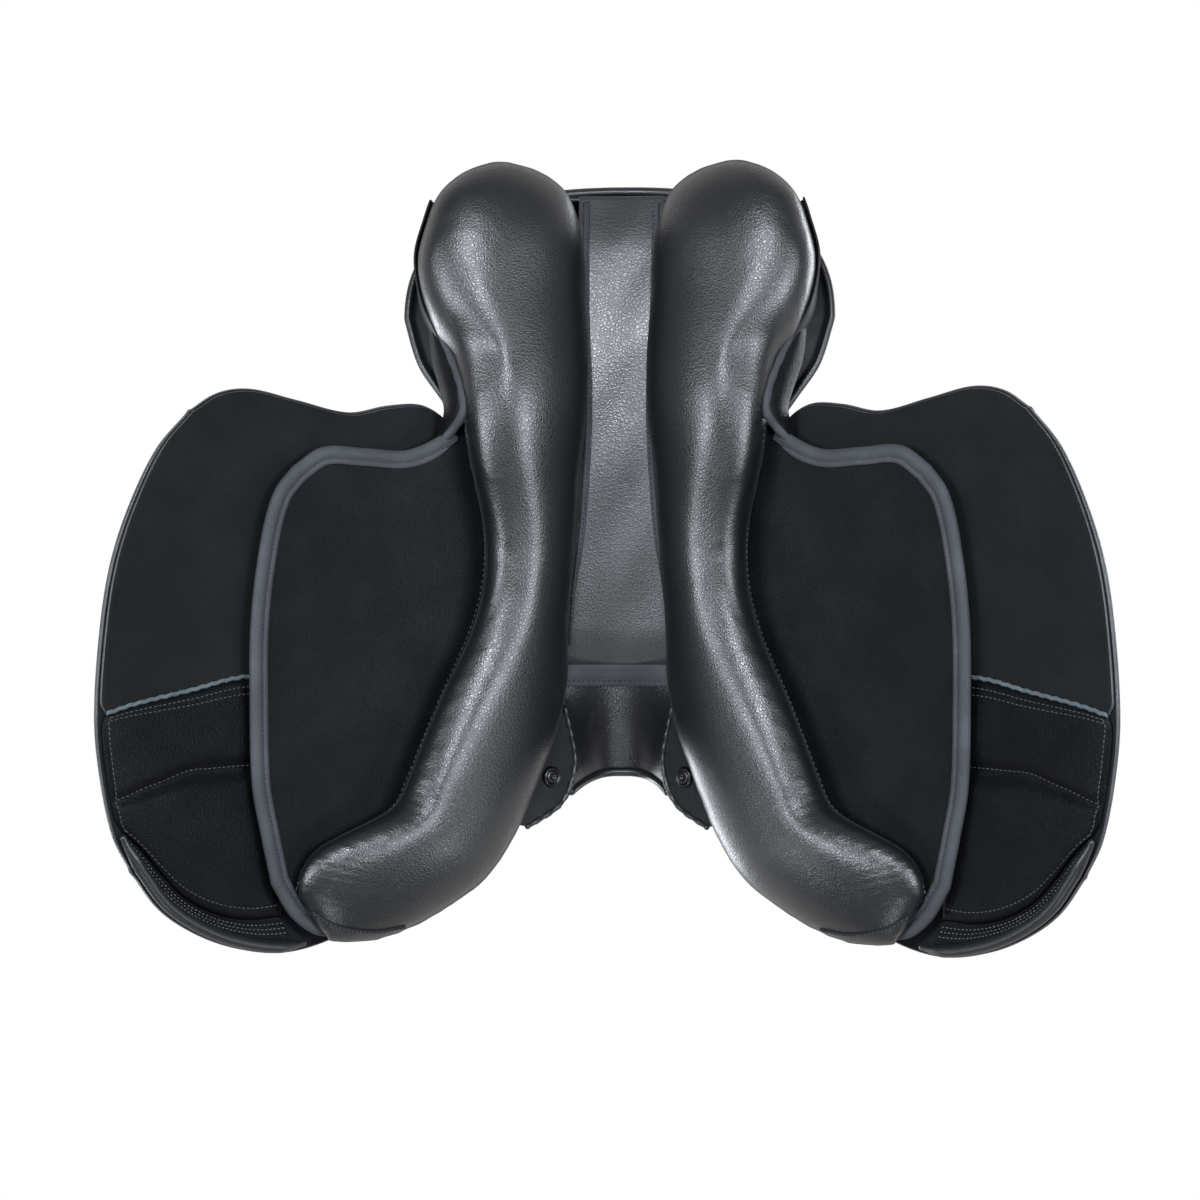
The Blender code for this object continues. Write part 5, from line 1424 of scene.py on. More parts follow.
@dataclass
class OuterFlaps:
    """The flaps that the rider's legs lie on, with lining, knee pad and rolled front edge."""

    front: tuple = ((0.107, -0.118), (0.120, -0.165), (0.150, -0.210), (0.200, -0.243), (0.245, -0.262),
                    (0.284, -0.268), (0.326, -0.261), (0.361, -0.247), (0.389, -0.228), (0.411, -0.201))
    outer: tuple = ((0.411, -0.201), (0.426, -0.174), (0.437, -0.128), (0.441, -0.085), (0.436, -0.020),
                    (0.427, 0.028), (0.411, 0.071), (0.388, 0.113), (0.362, 0.141))
    rear: tuple = ((0.107, 0.083), (0.124, 0.108), (0.138, 0.138), (0.160, 0.1515), (0.190, 0.1505),
                   (0.225, 0.144), (0.270, 0.152), (0.310, 0.159), (0.338, 0.155), (0.362, 0.141))
    off: float = 0.0161
    thick: float = 0.004
    lining_off: float = 0.0132
    lining_thick: float = 0.0025
    recess_depth: float = 0.036
    recess: tuple[float, float] = (-0.092, 0.045)
    recess_ramps: tuple[float, float] = (0.022, 0.030)
    lining_root: tuple[float, float] = (0.150, -0.040)
    cut_edge: tuple = ((0.435, -0.083), (0.413, -0.077), (0.362, -0.067), (0.325, -0.059), (0.285, -0.056))
    pad_lower: tuple = ((0.285, -0.240), (0.314, -0.241), (0.342, -0.235), (0.369, -0.221), (0.388, -0.203),
                        (0.406, -0.183), (0.421, -0.170))
    pad_crown: float = 0.0085
    pad_edge: float = 0.002
    channel: tuple = ((0.0, 0.63), (0.46, 0.62), (0.73, 0.50), (1.0, 0.27))
    channel_width: float = 0.045
    channel_seam: float = 0.012
    channel_depth: float = 0.72
    pad_power: float = 0.30
    pad_rows: tuple = (0.965, 0.935, 0.045)
    pad_fill: float = 0.5
    pad_sewing: Sewing = Sewing(pitch=0.0040, radius=0.00036)
    edge_sewing: Sewing = Sewing(pitch=0.0036, radius=0.00034)
    band_sewing: Sewing = Sewing(0.0036, 0.0024, 0.00036)
    band_height: float = 0.0014
    lining_inset: float = 0.0015
    raw_section: tuple = ((-0.0016, -0.0006), (-0.0008, -0.0015), (0.0010, -0.0014), (0.0017, -0.0002),
                          (0.0016, 0.0020), (-0.0014, 0.0022))
    roll_aim: tuple[float, float] = (0.330, -0.150)
    band_rows: tuple = (4, 7, 10)
    roll_radius: float = 0.0048
    roll_inset: float = 0.0045

    def root_path(self) -> Array:
        """The top edge from front to rear, with the recess that clears the stirrup bar.

        Returns:
            Places along it.
        """
        y = np.linspace(self.front[0][1], self.rear[0][1], 65)
        (start, end), (front, rear) = self.recess, self.recess_ramps
        opened = ease((y - start) / front) * ease((end - y) / rear)
        return np.stack([self.front[0][0] + self.recess_depth * opened, y], axis=1)

    def lining_places(self) -> Array:
        """The lining from its cut edge up to the flap's rear edge.

        Returns:
            The lining's grid of places.
        """
        outer, rear = smooth_path(self.outer), smooth_path(self.rear)
        outer = outer[outer[:, 1] > self.cut_edge[0][1]] - np.array([self.lining_inset, 0])
        rear = rear[rear[:, 0] > self.lining_root[0]] - np.array([0, self.lining_inset])
        cut = smooth_path(self.cut_edge)[::-1]
        start = np.array(self.lining_root)
        cut = np.vstack([np.linspace(start, cut[0], 12)[:-1], cut])
        outer = np.vstack([cut[-1:], outer[outer[:, 1] > cut[-1][1] + 0.004]])
        rear[-1] = outer[-1]
        inner = np.linspace(start, rear[0], 12)
        return patch(inner, outer, cut, rear, 72, 80)

    def pad_places(self) -> Array:
        """The knee pad: columns run from its lower edge up to the lining's cut edge.

        Returns:
            The pad's grid of places.
        """
        lower = smooth_path(self.pad_lower)
        upper = smooth_path(self.cut_edge)[::-1] - np.array([0, 0.0012])
        edge = smooth_path(self.outer) - np.array([0.003, 0])
        edge = edge[(edge[:, 1] > lower[-1][1] + 0.006) & (edge[:, 1] < upper[-1][1] - 0.006)]
        outer = np.vstack([lower[-1:], edge, upper[-1:]])
        inner = np.linspace(lower[0], upper[0], 16)
        return patch(inner, outer, lower, upper, 84, 80)

    def pad_height(self, s: Array, t: Array) -> Array:
        """The pad's thickness: crowned, thin at its edges and drawn in along the sewn channel.

        Args:
            s: share from the lower edge to the cut edge.
            t: share from the inner edge to the outer edge.

        Returns:
            The thickness at each point.
        """
        crown = np.clip(np.sin(math.pi * s) * np.sin(math.pi * t), 0, 1) ** self.pad_power
        bend = profile(self.channel, t)
        channel = 1 - self.channel_depth * np.exp(-(((s - bend) / self.channel_width) ** 2))
        lumps = 1 + 0.03 * np.sin(21 * t + 3 * s) * np.sin(17 * s)
        return self.pad_edge + (self.pad_crown - self.pad_edge) * crown * channel * lumps

    def build(self) -> None:
        """Makes everything that lifts with each flap."""
        root, outer = self.root_path(), smooth_path(self.outer)
        flap = patch(root, outer, smooth_path(self.front), smooth_path(self.rear), 110, 110)
        lining, pad = self.lining_places(), self.pad_places()
        for side in Side:
            body = f"flap_group_{side.word}"
            for name, places, off, thick, bulge, slot, face, node in (
                ("outer_flap", flap, self.off, self.thick, 0.35, "flap_leather", FLAP_FACE, "flap"),
                ("lining", lining, self.lining_off, self.lining_thick, 0.25, "flap_lining_leather",
                 FLAP_BACK, "flap_lining"),
            ):
                mesh = slab(name, DRAPE.on(places, off), DRAPE.on(places, off + thick), bulge, side)
                put(mesh, slot, (FLAP_BACK, DYED_EDGE, face), node, side=side, body=body)
            self.build_pad(side, pad, body)
            self.build_edges(side, body)

    def build_pad(self, side: Side, places: Array, body: str) -> None:
        """The knee pad with its stitches.

        Args:
            side: which side.
            places: the pad's grid on the drape.
            body: what it rides on.
        """
        top = self.off - TOUCH
        count, width = places.shape[:2]
        t, s = np.meshgrid(np.linspace(0, 1, count), np.linspace(0, 1, width), indexing="ij")
        lower = DRAPE.on(places, top - self.pad_height(s, t))
        mesh = slab("knee_cushion", lower, DRAPE.on(places, top), 0.2, side)
        put(mesh, "knee_pad_leather", PAD_LEATHER, "knee_pad", side=side, body=body, fill=self.pad_fill)
        rows = []
        cells = np.arange(2, count - 2)
        for at in (profile(self.channel, cells / (count - 1)) + self.channel_seam, *self.pad_rows):
            columns = at * (width - 1) * np.ones(len(cells))
            low = np.floor(columns).astype(int)
            high = np.minimum(low + 1, width - 1)
            mixed = (columns - low)[:, None]
            line = blend(lower[cells, low], lower[cells, high], mixed)
            off = -DRAPE.normal(places[cells, low, 0])
            rows.append(stitches("row", line, off, self.pad_sewing, side))
        line, off = lower[count - 3, 2:-2], -DRAPE.normal(places[count - 3, 2:-2, 0])
        rows.append(stitches("row", line, off, self.edge_sewing, side))
        put(joined(f"knee_stitching_{side.word}", rows), "knee_pad_leather", THREAD, body=body)

    def build_edges(self, side: Side, body: str) -> None:
        """The raw cut edge of the lining, the rolled front edge and the sewn band inside it.

        Args:
            side: which side.
            body: what they ride on.
        """
        cut = even(smooth_path(self.cut_edge), 120)
        wobble = 0.00035 * np.sin(np.arange(120) * 0.9) + 0.00025 * np.sin(np.arange(120) * 2.3)
        cut = cut + np.array([0.0, 1.0]) * wobble[:, None]
        rings = [DRAPE.on(cut + np.array([0.0, across]), self.lining_off + off)
                 for across, off in self.raw_section]
        mesh = loft("raw_cut_edge", np.stack(rings, axis=1), side)
        put(mesh, "flap_lining_leather", RAW_EDGE, body=body)
        self.build_roll(side, body)

    def roll_places(self, count: int) -> Array:
        """The rolled edge's middle line, as places.

        Args:
            count: how many.

        Returns:
            The places.
        """
        outer, front = smooth_path(self.outer), smooth_path(self.front)
        outer = outer[outer[:, 1] < self.pad_lower[-1][1] - 0.004]
        path = even(np.vstack([front[front[:, 0] > 0.262], outer[1:]]), count)
        return path + unit(np.array(self.roll_aim) - path) * self.roll_inset

    def build_roll(self, side: Side, body: str) -> None:
        """The rolled front edge and the band with three rows of stitches inside it.

        Args:
            side: which side.
            body: what they ride on.
        """
        path = self.roll_places(160)
        radius = self.roll_radius * (0.55 + 0.45 * tapered(len(path), 0.12))
        line = DRAPE.on(path, self.off - TOUCH - radius)
        mesh = tube("front_roll", line, radius, 20, side)
        put(mesh, "knee_pad_leather", ROLL_LEATHER, "flap_front_roll", side=side, body=body)
        lower = even(smooth_path(self.pad_lower), 90)
        roll = path[np.linspace(8, len(path) - 10, 90).astype(int)]
        across = np.linspace(0.0, 1.0, 16)[:, None, None]
        near, far = lower + unit(roll - lower) * 0.0010, roll + unit(lower - roll) * 0.0038
        places = blend(near[None], far[None], across)
        ridge = self.band_height + 0.0008 * np.exp(-((across[..., 0] - 0.06) / 0.06) ** 2)
        ridge = ridge - 0.0007 * np.exp(-((across[..., 0] - 0.36) / 0.07) ** 2)
        top = self.off - TOUCH
        under = DRAPE.on(places, top - ridge)
        mesh = slab("front_band", under, DRAPE.on(places, top), 0.3, side)
        put(mesh, "knee_pad_leather", PAD_LEATHER, body=body)
        rows = [
            stitches("row", under[row], -DRAPE.normal(places[row, :, 0]), self.band_sewing, side)
            for row in self.band_rows
        ]
        put(joined(f"band_stitching_{side.word}", rows), "knee_pad_leather", PALE_THREAD, body=body)


@dataclass
class Skirts:
    """The small flaps over the stirrup bars."""

    front: tuple = ((0.107, -0.112), (0.140, -0.131), (0.176, -0.124), (0.203, -0.094))
    outer: tuple = ((0.203, -0.094), (0.216, -0.055), (0.216, -0.010), (0.203, 0.030))
    rear: tuple = ((0.107, 0.080), (0.140, 0.077), (0.176, 0.060), (0.203, 0.030))
    off: float = 0.0208
    thick: float = 0.0035
    bulge: float = 0.014
    bulge_place: tuple[float, float] = (0.132, -0.045)
    bulge_span: tuple[float, float] = (0.024, 0.060)

    def height(self, places: Array) -> Array:
        """How far the skirt stands off the drape.

        Args:
            places: (reach, y) places.

        Returns:
            One height for each place.
        """
        far = ((places[..., 0] - self.bulge_place[0]) / self.bulge_span[0]) ** 2
        far = far + ((places[..., 1] - self.bulge_place[1]) / self.bulge_span[1]) ** 2
        return self.off + self.bulge * np.exp(-far)

    def build(self) -> None:
        """Makes both skirts, with a row of stitches inside the edge."""
        front, outer, rear = (smooth_path(edge) for edge in (self.front, self.outer, self.rear))
        root = np.linspace(front[0], rear[0], 20)
        places = patch(root, outer, front, rear, 64, 48)
        for side in Side:
            body = f"skirt_group_{side.word}"
            height = self.height(places)
            upper = DRAPE.on(places, height + self.thick)
            mesh = slab("small_flap", DRAPE.on(places, height), upper, 0.4, side)
            finishes = (FLAP_BACK, DYED_EDGE, FLAP_FACE)
            put(mesh, "seat_leather", finishes, "skirt", side=side, body=body)
            inset = np.vstack([upper[3:45, 3], upper[45, 3:62], upper[3:45, 61][::-1]])
            reach = np.concatenate([places[3:45, 3, 0], places[45, 3:62, 0], places[3:45, 61, 0][::-1]])
            mesh = stitches("small_flap_stitching", inset, DRAPE.normal(reach), side=side)
            put(mesh, "seat_leather", THREAD, body=body)


@dataclass
class Seat:
    """The seat: its padded cover, sides, welt and rolled edges."""

    start: float = -0.142
    widest: float = 0.225
    end: float = 0.336
    half_width: float = 0.171
    rear_power: float = 2.4
    rear_share: float = 0.38
    widths: tuple = ((-0.142, 0.064), (-0.134, 0.081), (-0.118, 0.094), (-0.080, 0.102), (0.060, 0.1025),
                     (0.090, 0.106), (0.130, 0.120), (0.160, 0.140), (0.190, 0.160), (0.225, 0.171))
    rim: tuple = ((-0.142, 0.131), (-0.135, 0.147), (-0.118, 0.157), (-0.090, 0.153), (-0.045, 0.134),
                  (0.000, 0.119), (0.060, 0.113), (0.130, 0.122), (0.200, 0.142), (0.260, 0.166),
                  (0.305, 0.187), (0.325, 0.190), (0.336, 0.182))
    dip: tuple = ((-0.142, 0.0), (0.030, 0.001), (0.130, 0.007), (0.200, 0.016), (0.260, 0.021),
                  (0.300, 0.017), (0.336, 0.0))
    edge: tuple = ((-0.142, 0.062), (-0.120, 0.051), (-0.080, 0.0475), (0.080, 0.0475), (0.160, 0.052),
                   (0.230, 0.063), (0.280, 0.078), (0.315, 0.100), (0.336, 0.128))
    welt_place: float = 0.62
    seam: float = 0.014
    width_power: float = 0.9
    height_power: float = 0.8
    slope_step: float = 0.004
    turn_step: float = 0.012
    cover_end: float = 85.0
    cover_thick: float = 0.003
    cover_fill: float = 0.85
    sewing: Sewing = Sewing(pitch=0.0046)
    rows: tuple[float, float] = (0.665, 0.955)
    welt_radius: float = 0.0024
    welt_rise: float = 0.0007
    root_welt_radius: float = 0.0025
    root_welt_span: tuple[float, float] = (-0.122, 0.117)
    root_welt_shift: tuple[float, float, float] = (0.0010, 0, -0.0026)
    underlay_thick: float = 0.0012
    underlay_reach: float = 0.050
    underlay_floor: float = 0.0435
    underlay_bend: float = 0.26
    underlay_slope: float = 0.30
    cord_radius: float = 0.0026
    cord_shift: tuple[float, float, float] = (0.0, -0.0052, -0.0062)
    roll_radius: float = 0.0030
    cantle_radius: float = 0.0045

    def share_of_y(self, y: float) -> float:
        """The station at a place ahead of the widest one."""
        return (1 - self.rear_share) * (y - self.start) / (self.widest - self.start)

    def share_at(self, degrees: float) -> float:
        """The station at a turn round the rear."""
        return 1 - self.rear_share + self.rear_share * degrees / 90

    def station(self, share: Array) -> tuple[Array, Array]:
        """Where a station lies.

        Args:
            share: from 0 at the pommel to 1 at the cantle.

        Returns:
            Its y and half width.
        """
        front = 1 - self.rear_share
        y = self.start + (self.widest - self.start) * share / front
        turn = np.clip(math.pi / 2 * (share - front) / self.rear_share, 0, math.pi / 2)
        power = 2 / self.rear_power
        rear_y = self.widest + (self.end - self.widest) * np.sin(turn) ** power
        ahead = share <= front
        rear_width = self.half_width * np.maximum(np.cos(turn), 0) ** power
        return np.where(ahead, y, rear_y), np.where(ahead, profile(self.widths, y), rear_width)

    def skin(self, share: Array, across: Array) -> Array:
        """The seat's outer surface.

        Args:
            share: station along the seat.
            across: 0 on the centreline, 1 or -1 at the lower edge.

        Returns:
            World points.
        """
        share, across = np.broadcast_arrays(np.asarray(share, float), np.asarray(across, float))
        y, half = self.station(share)
        edge, rim = profile(self.edge, y), profile(self.rim, y)
        turn = np.minimum(np.abs(across), 1) * math.pi / 2
        dip = profile(self.dip, y) * np.maximum(0, 1 - (across / self.welt_place) ** 2) ** 2
        x = half * np.sin(turn) ** self.width_power
        z = edge + (rim - edge) * np.maximum(np.cos(turn), 0) ** self.height_power - dip
        return np.stack([np.copysign(x, across), y, z], axis=-1)

    def under(self, share: Array, across: Array, depth: float) -> Array:
        """Points at a depth under the seat's outer surface, square to it.

        Args:
            share: station along the seat.
            across: place across it.
            depth: how far under, or above if negative.

        Returns:
            World points.
        """
        low = np.maximum(share - self.slope_step, 0)
        high = np.minimum(share + self.slope_step, self.share_at(self.cover_end))
        ahead = self.skin(high, across) - self.skin(low, across)
        inside = np.clip(across, -0.985, 0.985)
        outward = self.skin(share, inside + self.turn_step) - self.skin(share, inside - self.turn_step)
        return self.skin(share, across) - unit(np.cross(outward, ahead)) * depth

    def build(self) -> None:
        """Makes every piece of the seat's skin."""
        last = self.share_at(self.cover_end)
        shares = np.concatenate([np.linspace(0, 0.03, 9)[:-1], np.linspace(0.03, last, 110)])
        edge = self.welt_place - self.seam
        places = np.linspace(-edge, edge, 72)
        upper = self.under(shares[:, None], places[None], 0.0)
        lower = self.under(shares[:, None], places[None], self.cover_thick)
        upper, lower = self.closed_at_back(upper, 0.0), self.closed_at_back(lower, self.cover_thick)
        mesh = slab("seat_top", lower, upper, 0.2)
        put(mesh, "seat_leather", SEAT_LEATHER, "seat_cover", "seat_foam", fill=self.cover_fill)
        for side in Side:
            self.build_side(side, shares)
            self.build_roll(side)
            self.build_underlay(side)
            self.build_root_welt(side)
        self.build_welt(shares)
        self.build_cantle_roll()

    def closed_at_back(self, grid: Array, depth: float) -> Array:
        """The cover's grid with rows added that close its arched rear end down to the welt.

        Args:
            grid: rows of points along the seat.
            depth: how far under the outer surface they lie.

        Returns:
            The longer grid.
        """
        welt = self.under(np.array([self.share_at(self.cover_end)]), np.array([self.welt_place]),
                          -self.welt_radius - self.welt_rise)[0]
        foot = grid[-1].copy()
        foot[:, 1] = welt[1] - self.welt_radius - depth
        foot[:, 2] = welt[2]
        steps = np.linspace(0, 1, 7)[1:, None, None]
        return np.vstack([grid, blend(grid[-1:], foot[None], steps)])

    def build_root_welt(self, side: Side) -> None:
        """The cord along the seat's lower edge, over the root of the skirt and the flap.

        Args:
            side: which side.
        """
        shares = np.linspace(*(self.share_of_y(y) for y in self.root_welt_span), 110)
        path = self.skin(shares, 1.0) + np.array(self.root_welt_shift)
        mesh = tube("seat_root_welt", path, self.root_welt_radius, 12, side)
        put(mesh, "seat_leather", ROLL_LEATHER)

    def build_side(self, side: Side, shares: Array) -> None:
        """The leather from the welt down to the seat's lower edge.

        Args:
            side: which side.
            shares: stations along the seat.
        """
        stations = np.concatenate([shares, np.linspace(shares[-1], 1.0, 8)[1:]])
        across = np.linspace(self.welt_place + self.seam, 1.0, 28)
        outer = self.skin(stations[:, None], across[None])
        inner = self.under(stations[:, None], across[None], self.cover_thick)
        for grid in (outer, inner):
            grid[..., 0] = np.maximum(grid[..., 0], TOUCH)
        mesh = slab("side_cover", inner, outer, 0.3, side)
        put(mesh, "seat_leather", SEAT_LEATHER, "seat_side", side=side)
        rows = []
        for place in self.rows:
            keep = shares[4:-1]
            line = self.skin(keep, place)
            off = unit(self.under(keep, np.full(len(keep), place), -0.01) - line)
            rows.append(stitches("row", line, off, self.sewing, side))
        put(joined(f"seat_stitching_{side.word}", rows), "seat_leather", THREAD)

    def build_welt(self, shares: Array) -> None:
        """The piping over the seam between the cover and its sides, in one run round the cantle.

        Args:
            shares: stations along the seat.
        """
        rise = self.welt_radius + self.welt_rise
        left = self.under(shares, np.full(len(shares), self.welt_place), -rise)
        back = left[-1] * np.array([0.0, 1.0, 1.0])
        arc = np.linspace(left[-1], back, 12)[1:]
        half = np.vstack([left, arc])
        path = np.vstack([half, flipped(half, Side.RIGHT)[::-1][1:]])
        put(tube("piping", path, self.welt_radius, 12), "seat_leather", ROLL_LEATHER, "seat_welt")

    def build_roll(self, side: Side) -> None:
        """The rolled edge under the side of the seat, from the waist to the rear lobe.

        Args:
            side: which side.
        """
        shares = np.linspace(self.share_of_y(0.118), self.share_at(38), 80)
        shift = np.array([-self.cover_thick / 2, 0, -self.roll_radius - 2 * TOUCH])
        path = self.skin(shares, 1.0) + shift
        radius = self.roll_radius * (0.6 + 0.4 * tapered(len(path), 0.06))
        mesh = tube("edge_roll", path, radius, 14, side)
        put(mesh, "seat_leather", ROLL_LEATHER, "seat_edge_roll", side=side)

    def build_underlay(self, side: Side) -> None:
        """The leather that closes the seat's underside between its rolled edge and the panel.

        Args:
            side: which side.
        """
        shares = np.linspace(self.share_of_y(0.110), self.share_at(60), 90)
        edge = self.skin(shares, 1.0) - np.array([self.cover_thick + TOUCH, 0, -0.001])
        inner = edge.copy()
        inner[:, 0] -= np.minimum(self.underlay_reach, edge[:, 0] * 0.6)
        floor = self.underlay_floor + self.underlay_slope * np.maximum(edge[:, 1] - self.underlay_bend, 0)
        inner[:, 2] = np.minimum(edge[:, 2], floor)
        across = np.linspace(0, 1, 10)[:, None, None]
        lower = blend(edge[None], inner[None], across)
        mesh = slab("seat_underlay", lower, lower + np.array([0, 0, self.underlay_thick]), side=side)
        put(mesh, "seat_leather", GUSSET_LEATHER)

    def build_cantle_roll(self) -> None:
        """The padded roll under the back of the cantle, between the panel lobes."""
        shares = np.linspace(self.share_at(74), 1.0, 30)
        down = np.array([0, -self.cantle_radius * 0.5, -self.cantle_radius - 2 * TOUCH])
        left = self.skin(shares, 1.0) + down
        left[-1, 0] = 0.0
        path = np.vstack([left, flipped(left[:-1], Side.RIGHT)[::-1]])
        low = path + np.array(self.cord_shift)
        low[:, 1] -= 0.0012 * np.cos(np.clip(low[:, 0] / 0.05, -1, 1) * math.pi / 2)
        put(tube("cantle_piping", low, self.cord_radius, 14), "seat_leather", ROLL_LEATHER)
        mesh = tube("cantle_edge_roll", path, self.cantle_radius, 18)
        put(mesh, "seat_leather", ROLL_LEATHER, "cantle_roll")


@dataclass
class Gullet:
    """The channel between the panels: linings, bindings and the pommel's arch."""

    ceiling: tuple = ((-0.140, 0.112), (-0.105, 0.094), (-0.060, 0.072), (-0.020, 0.0645), (0.100, 0.0635),
                      (0.200, 0.068), (0.280, 0.083), (0.334, 0.104))
    half_widths: tuple = ((-0.060, 0.0405), (0.000, 0.038), (0.060, 0.032), (0.160, 0.027), (0.240, 0.030),
                          (0.330, 0.031))
    rear_end: float = 0.3275
    cross: float = -0.0605
    front_end: float = -0.140
    arch_half: float = 0.0385
    cut_back: float = 0.0030
    sweep_forward: float = 0.0100
    foot: float = 0.0605
    arch_foot: float = 0.064
    sag: float = 0.0015
    ripple: float = 0.0005
    thick: float = 0.0025
    lining_spread: float = 0.0065
    cross_width: float = 0.017
    cross_half: float = 0.0395
    cross_thick: float = 0.0010
    cross_crown: float = 0.0008
    cross_groove: float = 0.0006
    binding_start: float = -0.036
    binding_width: float = 0.0055
    binding_height: float = 0.0042
    cross_sewing: Sewing = Sewing(pitch=0.0040, radius=0.00060)
    channel_sewing: Sewing = Sewing(pitch=0.0040, radius=0.00050)
    piping_radius: float = 0.0032
    facing_thick: float = 0.0025

    def arch(self, y: Array, columns: int) -> Array:
        """Points across the front lining, an arch that deepens towards the pommel.

        Args:
            y: places along the saddle.
            columns: cells across.

        Returns:
            World points, rows by columns by 3.
        """
        y = np.atleast_1d(np.asarray(y, float))[:, None]
        share = (self.cross - y) / (self.cross - self.front_end)
        crown = profile(self.ceiling, y)
        foot = self.foot + (self.arch_foot - self.foot) * ease(share)
        half = self.half_widths[0][1] + (self.arch_half - self.half_widths[0][1]) * share
        half = half + self.lining_spread * (1 - ease(1.7 * share))
        power = 2.0 + 1.2 * ease(share)
        across = np.sin(math.pi * np.linspace(-0.5, 0.5, columns + 1))[None]
        z = foot + (crown - foot) * (1 - np.abs(across) ** power)
        return np.stack([half * across, y + np.clip(share, 0, 1) ** 2 * self.bow(across), z], axis=-1)

    def bow(self, across: Array) -> Array:
        """How far the arch's front edge lies behind its middle line: its feet sweep forward."""
        return self.cut_back * (1 - across ** 2) - self.sweep_forward * np.abs(across) ** 3

    def downward(self, line: Array) -> Array:
        """A unit vector straight down for each point of a line."""
        return np.tile([0.0, 0.0, -1.0], (len(line), 1))

    def build(self) -> None:
        """Makes the linings, bindings and the pommel's edge."""
        self.build_linings()
        self.build_cross_binding()
        for side in Side:
            self.build_channel_binding(side)
        self.build_pommel()

    def build_linings(self) -> None:
        """The rear lining, and the front one under the arch."""
        y = np.linspace(self.cross, self.rear_end, 120)[:, None]
        across = np.linspace(-1, 1, 33)[None]
        z = profile(self.ceiling, y) - self.sag * across ** 2
        z = z - self.ripple * np.sin(70 * y + 3 * across) * (1 - across ** 2)
        spread = self.lining_spread * (0.45 + 0.55 * ease(0.5 + (0.03 - y) / 0.1))
        wide = profile(self.half_widths, y) + spread
        lower = np.stack([wide * across, y + 0 * across, z], axis=-1)
        mesh = slab("channel_lining", lower, lower + np.array([0, 0, self.thick]), 0.3)
        put(mesh, "gullet_leather", GULLET_LEATHER, "gullet_lining")
        y = np.linspace(self.cross - 4 * TOUCH, self.front_end, 48)
        lower = self.arch(y, 48)
        mesh = slab("arch_lining", lower, lower + np.array([0, 0, self.thick]), 0.3)
        put(mesh, "gullet_leather", FRONT_LEATHER, "front_gullet_lining")

    def build_cross_binding(self) -> None:
        """The bound strip under the joint of the two linings, with its row of stitches."""
        y = np.linspace(self.cross + self.cross_width / 2, self.cross - self.cross_width / 2, 14)
        narrow = np.array([self.cross_half / self.half_widths[0][1], 1.0, 1.0])
        base = self.arch(y, 40) * narrow - np.array([0, 0, 2 * TOUCH])
        share = np.linspace(0, 1, len(y))
        crown = np.sin(math.pi * share) ** 0.4 * self.cross_crown
        groove = self.cross_groove * np.exp(-(((share - 0.72) / 0.06) ** 2))
        lower = base - np.array([0, 0, 1.0]) * (self.cross_thick + crown - groove)[:, None, None]
        mesh = slab("cross_strip", lower, base, 0.3)
        put(mesh, "binding_leather", BINDING_LEATHER, "gullet_cross_binding")
        line = lower[10]
        mesh = stitches("cross_stitching", line, self.downward(line), self.cross_sewing)
        put(mesh, "binding_leather", BLACK_THREAD)

    def build_channel_binding(self, side: Side) -> None:
        """The stitched edge between the lining and a panel, narrowing towards the front.

        Args:
            side: which side.
        """
        y = np.linspace(self.binding_start, self.rear_end - 0.004, 150)
        edge = profile(self.half_widths, y)
        top = profile(self.ceiling, y) - self.sag - 0.0007
        width = self.binding_width * (0.25 + 0.75 * ease((y - self.binding_start) / 0.12))
        section = ((1.0, 0.0), (1.0, 0.62), (0.93, 0.86), (0.80, 0.94), (0.70, 0.86), (0.60, 0.95),
                   (0.35, 1.0), (0.10, 0.92), (0.0, 0.70), (0.0, 0.0))
        rings = [
            np.stack([edge - width * across, y, top - self.binding_height * down], axis=-1)
            for across, down in section
        ]
        mesh = loft("channel_edge", np.stack(rings, axis=1), side)
        put(mesh, "binding_leather", BINDING_LEATHER, "channel_binding", side=side)
        line = np.stack([edge - width * 0.70, y, top - self.binding_height * 0.88], axis=-1)[8:]
        mesh = stitches("channel_stitching", line, self.downward(line), self.channel_sewing, side)
        put(mesh, "binding_leather", BLACK_THREAD)

    def build_pommel(self) -> None:
        """The facing of the pommel, the cord round the arch and its stitches."""
        shift = np.array([0, -self.piping_radius - TOUCH, self.piping_radius * 0.5])
        inner = self.arch(self.front_end, 48)[0]
        mesh = tube("arch_piping", inner + shift, self.piping_radius, 14)
        put(mesh, "binding_leather", ROLL_LEATHER, "pommel_piping")
        seat = Seat()
        columns = 48
        clear = self.thick + self.piping_radius
        outer = seat.skin(0.0, np.linspace(-1, 1, columns + 1))
        low = inner * np.array([1 + clear / self.arch_half, 1.0, 1.0]) + np.array([0, 0, clear])
        shares = np.linspace(0, 1, 14)[:, None, None]
        back = blend(outer[None], low[None], shares)
        fall = self.bow(np.sin(math.pi * np.linspace(-0.5, 0.5, columns + 1)))[None]
        back[..., 1] = seat.start - TOUCH + fall * shares[..., 0]
        front = back - np.array([0, self.facing_thick, 0])
        front[..., 1] -= 0.0006 * np.sin(math.pi * np.linspace(0, 1, 14))[:, None]
        put(slab("head_facing", back, front, 0.3), "seat_leather", SEAT_LEATHER, "pommel_facing")
        line = self.arch(self.front_end + 0.007, 48)[0][3:-3]
        put(stitches("arch_stitching", line, self.downward(line)), "gullet_leather", THREAD)


